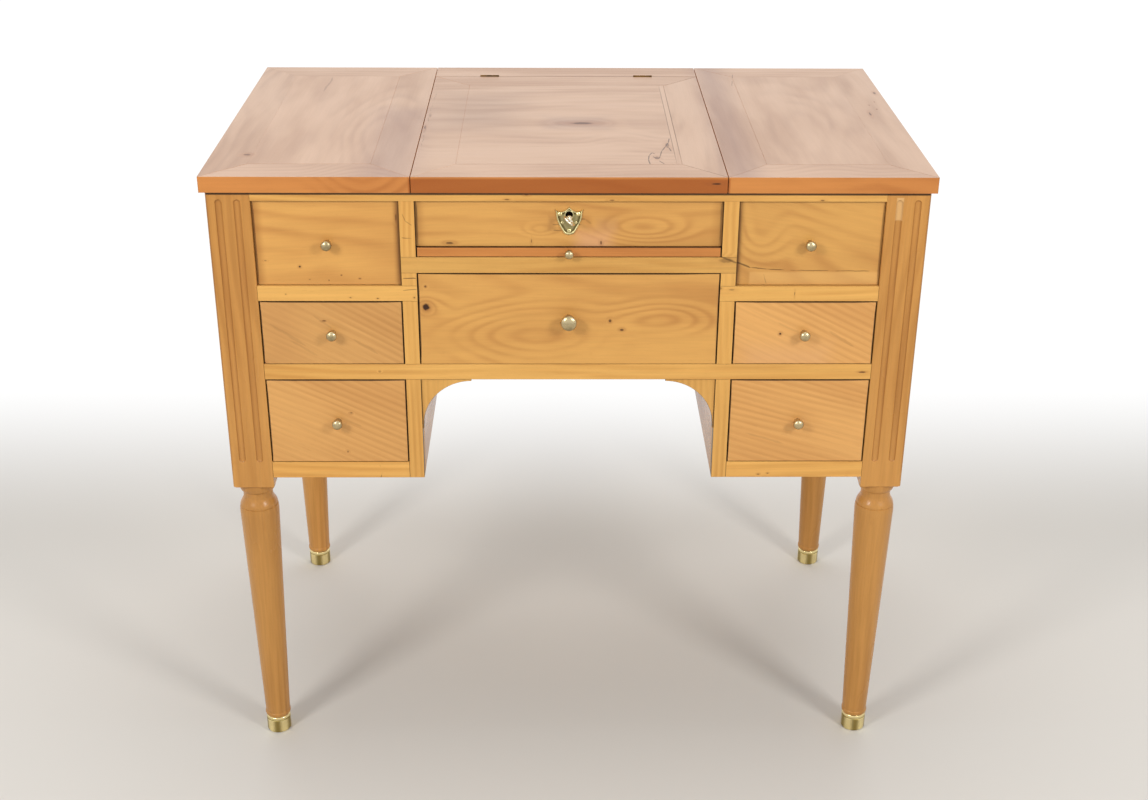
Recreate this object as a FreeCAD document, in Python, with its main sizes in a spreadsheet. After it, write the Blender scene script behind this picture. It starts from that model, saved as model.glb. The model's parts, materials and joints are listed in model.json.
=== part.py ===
import FreeCAD, Part
import math
import operator
import os
import Sketcher

# Dressing table with three lifting lids, a pull-out slide and five drawers.
# Millimetres, +Z up, +Y to the back. The origin is on the floor under the middle.

SIZES = {
    # whole table
    "height": 740,
    "case_width": 782,
    "case_depth": 450,
    "key_reach": 18,
    # lids
    "lid_thick": 18,
    "lid_gap": 0.8,
    "lid_side_overhang": 5,
    "lid_front_overhang": 4,
    "lid_rear_overhang": 16,
    "lid_split": 0.8,
    "lid_lap": 3,
    "fillet_width": 5.5,
    "lid_band": 46,
    "lid_panel_thick": 12,
    "rear_strip_depth": 45,
    # posts and their flutes
    "post_width": 48,
    "post_round": 4,
    "post_drop": 10,
    "flute_width": 7.6,
    "flute_depth": 3,
    "flute_spacing": 20,
    "flute_top": 8,
    "flute_bottom": 30,
    # turned legs and ferrules
    "collar_radius": 21.5,
    "collar_height": 9,
    "neck_radius": 17.8,
    "neck_height": 5,
    "shoulder_radius": 23,
    "shoulder_height": 15,
    "groove_depth": 0.8,
    "groove_height": 1.6,
    "ankle_radius": 15,
    "ring_radius": 16.3,
    "ring_height": 6,
    "ferrule_radius": 14.8,
    "ferrule_height": 24,
    "ferrule_wall": 1.4,
    "ferrule_base": 2,
    "ferrule_play": 0.1,
    # front frame
    "centre_bay": 334,
    "stile_width": 17,
    "rail_depth": 22,
    "top_rail": 9.5,
    "side_front": 98,
    "side_rail": 18,
    "middle_drawer": 76.5,
    "middle_rail": 19,
    "lower_drawer": 105.5,
    "bottom_rail": 20.5,
    "centre_front": 52.7,
    "slide_slot": 11.5,
    "centre_rail": 18.5,
    "false_setback": 4,
    "lap_depth": 9,
    "tenon_length": 14,
    "stub_length": 8,
    "tenon_thick": 8,
    "tenon_setback": 7,
    # kneehole brackets
    "bracket_reach": 57,
    "bracket_height": 63,
    "bracket_tip": 3,
    "bracket_toe": 1.2,
    "bracket_thick": 14,
    "bracket_setback": 2,
    # panels and shelves
    "side_panel": 16,
    "back_panel": 12,
    "tongue": 7,
    "tongue_thick": 6,
    "well_floor": 8,
    "shelf": 10,
    "slide_floor": 6,
    "guide_height": 16,
    "runner_width": 14,
    # drawers and slide
    "drawer_gap": 1.0,
    "drawer_play": 0.3,
    "drawer_setback": 0.6,
    "drawer_front": 18,
    "drawer_side": 9,
    "drawer_back": 9,
    "drawer_base": 6,
    "drawer_base_rise": 6,
    "drawer_groove": 4,
    "drawer_rear_gap": 18,
    "drawer_side_drop": 6,
    "tail_length": 11,
    "tail_flare": 2.4,
    "tail_share": 0.5,
    "slide_rear_gap": 30,
    # knobs
    "side_knob_radius": 6,
    "centre_knob_radius": 9.2,
    "slide_knob_radius": 5,
    "side_knob_reach": 14,
    "centre_knob_reach": 17,
    "slide_knob_reach": 12,
    "knob_screw_radius": 2,
    "knob_screw_length": 12,
    # lock and key
    "keyhole_drop": 18.5,
    "lock_width": 54,
    "lock_height": 40,
    "lock_thick": 14.5,
    "lock_plate": 1.6,
    "bolt_thick": 4,
    "bolt_height": 4.8,
    "bolt_length": 21.5,
    "bolt_travel": 7,
    "lock_play": 0.3,
    "shield_width": 31,
    "shield_height": 34,
    "shield_thick": 1.8,
    "key_radius": 2.4,
    "bow_radius": 6,
    "bow_wire": 1.5,
    "key_bit": 5.5,
    "key_bit_thick": 2.2,
    "key_angle": 40,
    "strike_length": 34,
    "strike_width": 13,
    "strike_thick": 1.2,
    "staple_drop": 19.8,
    "staple_depth": 8,
    "staple_thick": 3.5,
    "staple_foot": 1.2,
    "staple_play": 0.5,
    "staple_swing": 2.6,
    # hinges
    "hinge_length": 42,
    "hinge_from_post": 18,
    "lid_stop_gap": 0.5,
    "knuckle_clear": 0.35,
    "knuckle_gap": 0.3,
    "pin_radius": 1.2,
    "pin_play": 0.05,
    "leaf_thick": 1.0,
    "leaf_width": 15,
    "top_hinge_length": 24,
    "top_hinge_inset": 58,
    "top_knuckle_radius": 1.7,
    "top_pin_radius": 0.8,
    "top_leaf_thick": 0.9,
    "top_leaf_height": 13,
    # mirror
    "mirror_thick": 3,
    "mirror_play": 0.4,
    "bead_width": 9,
    "bead_height": 3,
}

doc = FreeCAD.newDocument("DressingTable")
sheet = doc.addObject("Spreadsheet::Sheet", "Sizes")
for row, (alias, value) in enumerate(SIZES.items(), start=1):
    sheet.set("A%d" % row, alias)
    sheet.set("B%d" % row, str(value))
    sheet.setAlias("B%d" % row, alias)
doc.recompute()


class Size:
    """A length as text for setExpression, with its present value beside it."""

    def __init__(self, text, value):
        self.text = text
        self.value = value

    def __add__(self, other):
        return joined(self, "+", other)

    def __radd__(self, other):
        return joined(other, "+", self)

    def __sub__(self, other):
        return joined(self, "-", other)

    def __rsub__(self, other):
        return joined(other, "-", self)

    def __mul__(self, other):
        return joined(self, "*", other)

    def __rmul__(self, other):
        return joined(other, "*", self)

    def __truediv__(self, other):
        return joined(self, "/", other)

    def __neg__(self):
        return joined(0, "-", self)


OPERATIONS = {"+": operator.add, "-": operator.sub, "*": operator.mul, "/": operator.truediv}


def as_size(number):
    return number if isinstance(number, Size) else Size("%r" % float(number), float(number))


def joined(left, sign, right):
    left = as_size(left)
    right = as_size(right)
    return Size("(%s %s %s)" % (left.text, sign, right.text), OPERATIONS[sign](left.value, right.value))


class Cells:
    """The sheet's aliases as Size values, one attribute each."""

    def __getattr__(self, alias):
        return Size("Sizes." + alias, float(sheet.get(alias)))


cell = Cells()
parts = {}


# Helpers that make bound document objects

def bind(obj, **lengths):
    for name, length in lengths.items():
        obj.setExpression(name, as_size(length).text)
    return obj


def place(obj, x=0, y=0, z=0, rotation=None):
    if rotation:
        obj.Placement = FreeCAD.Placement(FreeCAD.Vector(), rotation)
    for axis, length in zip("xyz", (x, y, z)):
        obj.setExpression("Placement.Base." + axis, as_size(length).text)
    return obj


def block(name, x, y, z):
    """Box between three (low, high) pairs."""
    box = doc.addObject("Part::Box", name)
    bind(box, Length=x[1] - x[0], Width=y[1] - y[0], Height=z[1] - z[0])
    return place(box, x[0], y[0], z[0])


TURN_Z_TO_Y = FreeCAD.Rotation(FreeCAD.Vector(1, 0, 0), -90)
TURN_Z_TO_FRONT = FreeCAD.Rotation(FreeCAD.Vector(1, 0, 0), 90)
TURN_Z_TO_X = FreeCAD.Rotation(FreeCAD.Vector(0, 1, 0), 90)


def rod(name, radius, length, x, y, z, rotation=None):
    cylinder = doc.addObject("Part::Cylinder", name)
    bind(cylinder, Radius=radius, Height=length)
    return place(cylinder, x, y, z, rotation)


def prism(name, sides, radius, length, x, y, z, rotation=None):
    """Many-sided rod; the corners lie on the radius."""
    feature = doc.addObject("Part::Prism", name)
    feature.Polygon = sides
    bind(feature, Circumradius=radius, Height=length)
    return place(feature, x, y, z, rotation)


def spindle(name, sides, stations, x, y, z, rotation=None):
    """Turned form lofted through (radius, height) stations; enough flats to read as round."""
    rings = []
    for number, (radius, height) in enumerate(stations, start=1):
        ring = doc.addObject("Part::RegularPolygon", "%s_ring_%d" % (name, number))
        ring.Polygon = sides
        bind(ring, Circumradius=radius)
        rings.append(place(ring, 0, 0, height))
    feature = doc.addObject("Part::Loft", name)
    feature.Sections = rings
    feature.Solid = True
    feature.Ruled = True
    return place(feature, x, y, z, rotation)


def cut(name, base, *tools):
    for tool in tools:
        feature = doc.addObject("Part::Cut", name)
        feature.Base = base
        feature.Tool = tool
        base = feature
    return base


def fuse(name, *pieces):
    feature = doc.addObject("Part::MultiFuse", name)
    feature.Shapes = list(pieces)
    return feature


def group(name, pieces):
    feature = doc.addObject("Part::Compound", name)
    feature.Links = list(pieces)
    return feature


def part(name, obj):
    obj.Label = name
    parts[name] = obj
    return obj


def span(side, low, high):
    """The pair low..high on the right side (+1), or its mirror on the left (-1)."""
    return (low, high) if side > 0 else (-high, -low)


SIDES = ((-1, "left"), (1, "right"))


def origin_plane(body, role):
    return next(item for item in body.Origin.OriginFeatures if item.Role == role)


def arc_between(start, end, radius):
    """Arc between two points; a positive radius bulges to the right of the way from start to end."""
    chord = end - start
    half = chord.Length / 2
    bulge = FreeCAD.Vector(chord.y, -chord.x, 0).normalize() * math.copysign(1, radius)
    centre = (start + end) * 0.5 - bulge * math.sqrt(max(radius * radius - half * half, 0))
    first, last = (start, end) if radius > 0 else (end, start)
    angles = [math.atan2(point.y - centre.y, point.x - centre.x) for point in (first, last)]
    if angles[1] < angles[0]:
        angles[1] += 2 * math.pi
    return Part.ArcOfCircle(Part.Circle(centre, FreeCAD.Vector(0, 0, 1), abs(radius)), *angles)


def outline(body, name, role, points, arcs=None):
    """Closed sketch through bound points; arcs gives the radius of the edge after a point."""
    sketch = body.newObject("Sketcher::SketchObject", name)
    sketch.AttachmentSupport = (origin_plane(body, role), [""])
    sketch.MapMode = "FlatFace"
    arcs = arcs or {}
    places = [FreeCAD.Vector(as_size(x).value, as_size(y).value, 0) for x, y in points]
    ends = []
    for index, start in enumerate(places):
        end = places[(index + 1) % len(places)]
        radius = as_size(arcs[index]).value if index in arcs else 0
        sketch.addGeometry(arc_between(start, end, radius) if radius else Part.LineSegment(start, end))
        ends.append((2, 1) if radius < 0 else (1, 2))
    for index in range(len(places)):
        following = (index + 1) % len(places)
        sketch.addConstraint(
            Sketcher.Constraint("Coincident", index, ends[index][1], following, ends[following][0]))
    for index, (x, y) in enumerate(points):
        for kind, axis, length in (("DistanceX", -2, x), ("DistanceY", -1, y)):
            first = ends[index][0]
            if as_size(length).value == 0:
                sketch.addConstraint(Sketcher.Constraint("PointOnObject", index, first, axis))
                continue
            number = sketch.addConstraint(
                Sketcher.Constraint(kind, index, first, as_size(length).value))
            sketch.setExpression("Constraints[%d]" % number, as_size(length).text)
    for index, radius in arcs.items():
        size = as_size(radius)
        number = sketch.addConstraint(Sketcher.Constraint("Radius", index, abs(size.value)))
        sketch.setExpression("Constraints[%d]" % number, "abs(%s)" % size.text)
    return sketch


def padded(name, role, points, arcs, length):
    """Body padded from a closed outline."""
    body = doc.addObject("PartDesign::Body", name)
    sketch = outline(body, name + "_outline", role, points, arcs)
    pad = body.newObject("PartDesign::Pad", name + "_pad")
    pad.Profile = sketch
    bind(pad, Length=length)
    return body


# Levels and lines that the pieces share

front = -(cell.case_depth + cell.lid_rear_overhang - cell.key_reach) / 2
back = front + cell.case_depth
half_case = cell.case_width / 2
post_inner = half_case - cell.post_width
bay = cell.centre_bay / 2
stile_outer = bay + cell.stile_width
case_top = cell.height - cell.lid_thick - cell.lid_gap
lid_under = cell.height - cell.lid_thick

front_top = case_top - cell.top_rail
side_rail_top = front_top - cell.side_front
side_rail_low = side_rail_top - cell.side_rail
middle_rail_top = side_rail_low - cell.middle_drawer
middle_rail_low = middle_rail_top - cell.middle_rail
bottom_rail_top = middle_rail_low - cell.lower_drawer
case_low = bottom_rail_top - cell.bottom_rail
post_low = case_low - cell.post_drop
slide_top = front_top - cell.centre_front
slide_low = slide_top - cell.slide_slot
centre_rail_low = slide_low - cell.centre_rail

rail_back = front + cell.rail_depth
panel_front = back - cell.back_panel
post_back = front + cell.post_width
rear_post_front = back - cell.post_width
panel_inner = half_case - cell.side_panel


# Rails, each with tenons that run into the posts or laps that cross the stiles

def tenon(name, x, low, high):
    y = front + cell.tenon_setback
    shoulder = (high - low) / 5
    return block(name, x, (y, y + cell.tenon_thick), (low + shoulder, high - shoulder))


def full_rail(name, low, high):
    pieces = [block(name + "_bar", (-post_inner, post_inner), (front, rail_back), (low, high))]
    for side, word in SIDES:
        x = span(side, post_inner, post_inner + cell.tenon_length)
        pieces.append(tenon(name + "_tenon_" + word, x, low, high))
    return fuse(name + "_rail", *pieces)


def column_rail(name, side, low, high, laps):
    """Rail of a side column; at the stile it laps over the front or ends in a stub tenon."""
    bar = block(name + "_bar", span(side, stile_outer, post_inner), (front, rail_back), (low, high))
    if laps:
        inner = block(name + "_lap", span(side, bay, stile_outer), (front, front + cell.lap_depth),
                      (low, high))
    else:
        inner = tenon(name + "_stub", span(side, stile_outer - cell.stub_length, stile_outer), low, high)
    x = span(side, post_inner, post_inner + cell.tenon_length)
    return fuse(name + "_rail", bar, inner, tenon(name + "_tenon", x, low, high))


def centre_rail():
    bar = block("centre_bar", (-bay, bay), (front, rail_back), (slide_low - cell.centre_rail, slide_low))
    lap = block("centre_lap", (-stile_outer, stile_outer), (front, front + cell.lap_depth),
                (slide_low - cell.centre_rail, slide_low))
    return fuse("centre_rail_joined", bar, lap)


top_rail = full_rail("top", front_top, case_top)
middle_rail = full_rail("middle", middle_rail_low, middle_rail_top)
side_rails = {}
bottom_rails = {}
for side, word in SIDES:
    side_rails[word] = column_rail("side_" + word, side, side_rail_low, side_rail_top, True)
    bottom_rails[word] = column_rail("bottom_" + word, side, case_low, bottom_rail_top, False)
crossing_rail = centre_rail()


# Side and back panels, tongued into the posts

def side_panel(side, word):
    board = block("side_board_" + word, span(side, panel_inner, half_case), (post_back, rear_post_front),
                  (case_low, case_top))
    middle = half_case - cell.side_panel / 2
    edge = span(side, middle - cell.tongue_thick / 2, middle + cell.tongue_thick / 2)
    tongue = block("side_tongue_" + word, edge,
                   (post_back - cell.tongue, rear_post_front + cell.tongue), (case_low, front_top))
    return fuse("side_panel_joined_" + word, board, tongue)


side_panels = {word: side_panel(side, word) for side, word in SIDES}
back_board = block("back_board", (-post_inner, post_inner), (panel_front, back), (middle_rail_low, case_top))
back_tongue = block("back_tongue", (-post_inner - cell.tongue, post_inner + cell.tongue),
                    (back - cell.back_panel / 2 - cell.tongue_thick / 2,
                     back - cell.back_panel / 2 + cell.tongue_thick / 2), (middle_rail_low, front_top))
back_panel = fuse("back_panel_joined", back_board, back_tongue)
lower_backs = [block("lower_back_" + word, span(side, bay, post_inner), (panel_front, back),
                     (case_low, middle_rail_low)) for side, word in SIDES]
part("back_panels", group("back_panel_set", [back_panel] + lower_backs))


# Posts: a square block with stopped flutes, and the turned leg below it in one piece

flute_radius = (cell.flute_width * cell.flute_width / 4 + cell.flute_depth * cell.flute_depth) \
    / (2 * cell.flute_depth)


def flute(name, x, y):
    """Round cutter standing on a post's face, its axis outside the wood and its ends tapering out of it."""
    low = post_low + cell.flute_bottom + flute_radius
    high = case_top - cell.flute_top - flute_radius
    thin = flute_radius - cell.flute_depth
    pieces = [rod(name + "_run", flute_radius, high - low, x, y, low)]
    for word, z, wide_low, wide_high in (("low", low - flute_radius, thin, flute_radius),
                                         ("high", high, flute_radius, thin)):
        end = doc.addObject("Part::Cone", name + "_" + word)
        bind(end, Radius1=wide_low, Radius2=wide_high, Height=flute_radius)
        pieces.append(place(end, x, y, z))
    return fuse(name, *pieces)


# A quarter round in two steps, as shares of its two half axes
QUARTER = ((0.71, 0.71),)
LEG_FLATS = 20


def leg_turning(name, x, y):
    shoulder_top = post_low - cell.collar_height - cell.neck_height
    shoulder_low = shoulder_top - cell.shoulder_height
    collar_swell = cell.collar_radius - cell.neck_radius
    shoulder_swell = cell.shoulder_radius - cell.neck_radius
    ring_low = cell.ferrule_height
    stations = [(cell.collar_radius, post_low)]
    for down, out in QUARTER:
        stations.append((cell.neck_radius + collar_swell * out, post_low - cell.collar_height * down))
    stations.append((cell.neck_radius, post_low - cell.collar_height))
    stations.append((cell.neck_radius, shoulder_top))
    for out, up in QUARTER:
        stations.append((cell.neck_radius + shoulder_swell * out, shoulder_low + cell.shoulder_height * up))
    stations += [
        (cell.shoulder_radius, shoulder_low),
        (cell.shoulder_radius - cell.groove_depth, shoulder_low - cell.groove_height / 2),
        (cell.shoulder_radius, shoulder_low - cell.groove_height),
        (cell.ankle_radius, ring_low + cell.ring_height),
        (cell.ring_radius, ring_low + cell.ring_height * 0.7),
        (cell.ring_radius, ring_low + cell.ring_height * 0.3),
        (cell.ankle_radius, ring_low),
    ]
    shaft = spindle(name + "_shaft", LEG_FLATS, stations, x, y, 0)
    peg = prism(name + "_peg", LEG_FLATS, cell.ferrule_radius - cell.ferrule_wall - cell.ferrule_play,
                ring_low - cell.ferrule_base, x, y, cell.ferrule_base)
    return fuse(name, shaft, peg)


def post_block(name, side, out, x, y):
    """Square block with its outer corner rounded; out is -1 at the front, 1 at the back."""
    half = cell.post_width / 2
    flat = half - cell.post_round
    points = [
        (-half * side, -half * out),
        (half * side, -half * out),
        (half * side, flat * out),
        (flat * side, half * out),
        (-half * side, half * out),
    ]
    body = padded(name, "XY_Plane", points, {2: cell.post_round * (side * out)}, case_top - post_low)
    return place(body, x, y, post_low)


def post(side, word, end, y_low, y_high):
    name = "post_%s_%s" % (end, word)
    y_middle = (y_low + y_high) / 2
    x_middle = (post_inner + half_case) / 2 * side
    square = post_block(name + "_block", side, -1 if end == "front" else 1, x_middle, y_middle)
    rise = flute_radius - cell.flute_depth
    cutters = []
    for number, offset in enumerate((-cell.flute_spacing / 2, cell.flute_spacing / 2), start=1):
        cutters.append(flute("%s_side_flute_%d" % (name, number), (half_case + rise) * side,
                             y_middle + offset))
        if end == "front":
            cutters.append(flute("%s_front_flute_%d" % (name, number), x_middle + offset, y_low - rise))
    if end == "front":
        cutters += [top_rail, middle_rail, side_rails[word], bottom_rails[word]]
    else:
        cutters.append(back_panel)
    cutters.append(side_panels[word])
    worked = cut(name + "_worked", square, *cutters)
    part(name, fuse(name + "_whole", worked, leg_turning(name + "_leg", x_middle, y_middle)))
    return square


post_blocks = {}
for side, word in SIDES:
    for end, y_low, y_high in (("front", front, post_back), ("rear", rear_post_front, back)):
        post_blocks[end, word] = post(side, word, end, y_low, y_high)


def ferrule(name, x, y):
    """Brass cup with a chamfered foot, open at the top for the peg of the leg."""
    stations = [
        (cell.ferrule_radius - cell.ferrule_wall, 0),
        (cell.ferrule_radius, cell.ferrule_wall),
        (cell.ferrule_radius, cell.ferrule_height),
    ]
    cup = spindle(name + "_cup", LEG_FLATS, stations, x, y, 0)
    socket = prism(name + "_socket", LEG_FLATS, cell.ferrule_radius - cell.ferrule_wall,
                   cell.ferrule_height - cell.ferrule_base, x, y, cell.ferrule_base)
    return cut(name, cup, socket)


ferrules = []
for side, word in SIDES:
    for end, y in (("front", front + cell.post_width / 2), ("rear", back - cell.post_width / 2)):
        ferrules.append(ferrule("ferrule_%s_%s" % (end, word), (post_inner + half_case) / 2 * side, y))
part("foot_ferrules", group("ferrules", ferrules))
doc.recompute()


# Stiles between the columns, notched where the rails lap over them

upper_stiles = []
lower_stiles = []
for side, word in SIDES:
    stile_x = span(side, bay, stile_outer)
    upper = block("upper_stile_bar_" + word, stile_x, (front, rail_back), (middle_rail_top, front_top))
    upper_stiles.append(cut("upper_stile_cut_" + word, upper, side_rails[word], crossing_rail))
    lower = block("lower_stile_bar_" + word, stile_x, (front, rail_back), (case_low, middle_rail_low))
    lower_stiles.append(cut("lower_stile_cut_" + word, lower, bottom_rails[word]))
    partition = block("partition_board_" + word, stile_x, (rail_back, panel_front), (case_low, case_top))
    part("partition_" + word, partition)
part("upper_stiles", group("upper_stile_pair", upper_stiles))
part("lower_stiles", group("lower_stile_pair", lower_stiles))
part("middle_rail", middle_rail)
part("side_rails", group("side_rail_pair", side_rails.values()))
part("bottom_rails", group("bottom_rail_pair", bottom_rails.values()))
part("centre_rail", crossing_rail)


# Quarter-round brackets in the corners of the kneehole

def bracket(side, word):
    radius = cell.bracket_reach - cell.bracket_toe
    y = front + cell.bracket_setback
    corner = block("bracket_corner_" + word, span(side, bay - cell.bracket_reach, bay),
                   (y, y + cell.bracket_thick), (middle_rail_low - cell.bracket_height, middle_rail_low))
    round_cut = rod("bracket_round_" + word, radius, cell.bracket_thick, (bay - cell.bracket_reach) * side, y,
                    middle_rail_low - cell.bracket_tip - radius, TURN_Z_TO_Y)
    return cut("bracket_cut_" + word, corner, round_cut)


part("kneehole_brackets", group("brackets", [bracket(side, word) for side, word in SIDES]))


# Floors of the wells, shelves that carry the drawers, guides and slide runners

def column_shelf(name, side, word, low, high):
    board = block(name, span(side, stile_outer, panel_inner), (rail_back, panel_front), (low, high))
    return cut(name + "_notched", board, post_blocks["front", word], post_blocks["rear", word])


well_floors = [block("centre_well_floor", (-bay, bay), (rail_back, panel_front),
                     (slide_top, slide_top + cell.slide_floor))]
shelves = [block("centre_shelf", (-bay, bay), (rail_back, panel_front),
                 (middle_rail_top - cell.shelf, middle_rail_top))]
guides = []
runners = []
for side, word in SIDES:
    well_floors.append(column_shelf("well_floor_" + word, side, word, side_rail_top - cell.well_floor,
                                    side_rail_top))
    for level, top in (("middle", middle_rail_top), ("lower", bottom_rail_top)):
        shelves.append(column_shelf("%s_shelf_%s" % (level, word), side, word, top - cell.shelf, top))
        guides.append(block("%s_guide_%s" % (level, word), span(side, post_inner, panel_inner),
                            (post_back, rear_post_front), (top, top + cell.guide_height)))
    runners.append(block("slide_runner_" + word, span(side, bay - cell.runner_width, bay),
                         (rail_back, panel_front), (centre_rail_low, slide_low)))
part("well_floors", group("well_floor_set", well_floors))
part("drawer_shelves", group("shelf_set", shelves))
part("guides_and_runners", group("guide_set", guides + runners))


# Brass knobs: a foot, a neck and a mushroom cap in facets

KNOB_FLATS = 18
NECK_FLATS = 12


def end_face(shape, way):
    """Name of the face that lies highest (way 1) or lowest (way -1)."""
    heights = [way * face.CenterOfMass.z for face in shape.Faces]
    return "Face%d" % (heights.index(max(heights)) + 1)


def bevelled(name, radius, height, way, fall, inset, x, y, z):
    """Many-sided disc standing out to the front, one end cut back by fall along its side and by inset."""
    blank = prism(name + "_blank", KNOB_FLATS, radius, height, 0, 0, 0)
    doc.recompute()
    body = doc.addObject("PartDesign::Body", name)
    body.BaseFeature = blank
    doc.recompute()
    base = body.Tip
    bevel = body.newObject("PartDesign::Chamfer", name + "_bevel")
    bevel.Base = (base, [end_face(base.Shape, way)])
    bevel.ChamferType = "Two distances"
    bind(bevel, Size=fall, Size2=inset)
    return place(body, x, y, z, TURN_Z_TO_FRONT)


def knob(name, radius, reach, x, y, z):
    foot = prism(name + "_foot", NECK_FLATS, radius * 0.62, reach * 0.12, x, y, z, TURN_Z_TO_FRONT)
    neck = prism(name + "_neck", NECK_FLATS, radius * 0.42, reach * 0.5, x, y, z, TURN_Z_TO_FRONT)
    under = bevelled(name + "_under", radius, reach * 0.32, -1, reach * 0.28, radius * 0.5,
                     x, y - reach * 0.42, z)
    dome = bevelled(name + "_dome", radius, reach * 0.2, 1, reach * 0.18, radius * 0.3,
                    x, y - reach * 0.74, z)
    crown = bevelled(name + "_crown", radius * 0.7, reach * 0.06, 1, reach * 0.055, radius * 0.35,
                     x, y - reach * 0.94, z)
    screw = prism(name + "_screw", 6, cell.knob_screw_radius, cell.knob_screw_length, x, y, z, TURN_Z_TO_Y)
    return fuse(name, foot, neck, under, dome, crown, screw)


# False fronts under the lids

false_face = front + cell.false_setback
false_knobs = []
for side, word in SIDES:
    x_middle = (stile_outer + post_inner) / 2 * side
    knob_piece = knob("false_knob_" + word, cell.side_knob_radius, cell.side_knob_reach, x_middle, false_face,
                      (side_rail_top + front_top) / 2)
    false_knobs.append(knob_piece)
    board = block("false_board_" + word, span(side, stile_outer, post_inner), (false_face, rail_back),
                  (side_rail_top, front_top))
    part("false_front_" + word, cut("false_front_cut_" + word, board, knob_piece))
part("false_front_knobs", group("false_knob_pair", false_knobs))


# Lock behind the centre false front. The staple under the centre lid drops through the top rail into it,
# and the bolt slides sideways through the staple's eye.

key_z = front_top - cell.keyhole_drop
lock_front = rail_back - cell.lock_thick
chamber_front = lock_front + cell.lock_plate
staple_back = rail_back - cell.lock_plate - cell.staple_play
staple_y = (staple_back - cell.staple_depth, staple_back)
staple_x = (-cell.staple_thick / 2, cell.staple_thick / 2)
staple_z = (lid_under - cell.staple_drop, lid_under)
bolt_middle = staple_back - cell.staple_depth / 2
bolt_y = (bolt_middle - cell.bolt_thick / 2, bolt_middle + cell.bolt_thick / 2)
bolt_low = staple_z[0] + cell.staple_foot + cell.staple_play
bolt_z = (bolt_low, bolt_low + cell.bolt_height)
bolt_end = staple_x[0] - cell.staple_play
bolt_x = (bolt_end - cell.bolt_length, bolt_end)


def eased(pair, play):
    return (pair[0] - play, pair[1] + play)


bolt_way = block("bolt_way", eased((bolt_x[0], bolt_x[1] + cell.bolt_travel), cell.lock_play),
                 eased(bolt_y, cell.lock_play), eased(bolt_z, cell.lock_play))
staple_way = block("staple_way", eased(staple_x, cell.staple_play),
                   (staple_y[0] - cell.staple_swing, staple_y[1] + cell.staple_play),
                   (staple_z[0] - cell.staple_play, case_top))
chamber_reach = cell.key_bit + cell.lock_play
chamber = block("key_chamber", (-chamber_reach, chamber_reach), (chamber_front, bolt_y[0]),
                (key_z - chamber_reach, key_z + chamber_reach))
shield_front = false_face - cell.shield_thick
key_hole = rod("key_hole", cell.key_radius + cell.lock_play, chamber_front - shield_front, 0, shield_front,
               key_z, TURN_Z_TO_Y)
lock_box = block("lock_box", (-cell.lock_width / 2, cell.lock_width / 2), (lock_front, rail_back),
                 (front_top - cell.lock_height, front_top))
part("lock_case", cut("lock_case_cut", lock_box, bolt_way, staple_way, chamber, key_hole))
centre_board = block("centre_false_board", (-bay, bay), (false_face, rail_back), (slide_top, front_top))
part("false_front_centre", cut("false_front_centre_cut", centre_board, lock_box, key_hole))
part("top_rail", cut("top_rail_cut", top_rail, staple_way))
part("lock_bolt", block("bolt_bar", bolt_x, bolt_y, bolt_z))


# Outline of the shield as shares of its half width and of its height, and its arcs' radii
SHIELD_POINTS = ((-1, 0.45), (0, 0.45), (1, 0.45), (0.9, 0.1), (0.4, -0.48), (-0.4, -0.48), (-0.9, 0.1))
SHIELD_SCALLOP = 0.75
SHIELD_TIP = 0.62


def shield():
    half = cell.shield_width / 2
    points = [(half * across, cell.shield_height * up) for across, up in SHIELD_POINTS]
    arcs = {0: half * SHIELD_SCALLOP, 1: half * SHIELD_SCALLOP, 4: -half * SHIELD_TIP}
    body = padded("shield_plate", "XZ_Plane", points, arcs, cell.shield_thick)
    return place(body, 0, false_face, key_z)


part("escutcheon", cut("escutcheon_cut", shield(), key_hole))


def key():
    bow_y = front - cell.key_reach + cell.bow_radius + cell.bow_wire
    ring = prism("key_ring", 20, cell.bow_radius + cell.bow_wire, 2 * cell.bow_wire, 0, bow_y, -cell.bow_wire)
    eye = prism("key_eye", 20, cell.bow_radius - cell.bow_wire, 2 * cell.bow_wire, 0, bow_y, -cell.bow_wire)
    bow = cut("key_bow", ring, eye)
    stem_y = bow_y + cell.bow_radius
    bit_y = chamber_front + cell.lock_play
    stem = rod("key_stem", cell.key_radius, bit_y + cell.key_bit_thick - stem_y, 0, stem_y, 0, TURN_Z_TO_Y)
    bit = block("key_bit", (as_size(0), cell.key_bit), (bit_y, bit_y + cell.key_bit_thick),
                (-cell.key_bit_thick / 2, cell.key_bit_thick / 2))
    whole = fuse("key_joined", bow, stem, bit)
    whole.setExpression("Placement.Rotation.Angle", "Sizes.key_angle")
    whole.Placement = FreeCAD.Placement(FreeCAD.Vector(), FreeCAD.Rotation(FreeCAD.Vector(0, 1, 0), 1))
    return place(whole, 0, 0, key_z)


part("key", key())


# Drawers: dovetailed sides, a grooved-in bottom and a back that stands on it

def dovetail(name, x_low, y_root, z_middle, root):
    """Tail that widens from its root on the side board to its tip in the front board."""
    tail = doc.addObject("Part::Wedge", name)
    tip = root + 2 * cell.tail_flare
    bind(tail, Xmin=0, X2min=0, Ymin=0, Zmin=0, Xmax=cell.drawer_side, X2max=cell.drawer_side,
         Ymax=cell.tail_length, Zmax=tip, Z2min=cell.tail_flare, Z2max=tip - cell.tail_flare)
    return place(tail, x_low, y_root - cell.tail_length, z_middle - tip / 2)


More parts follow.
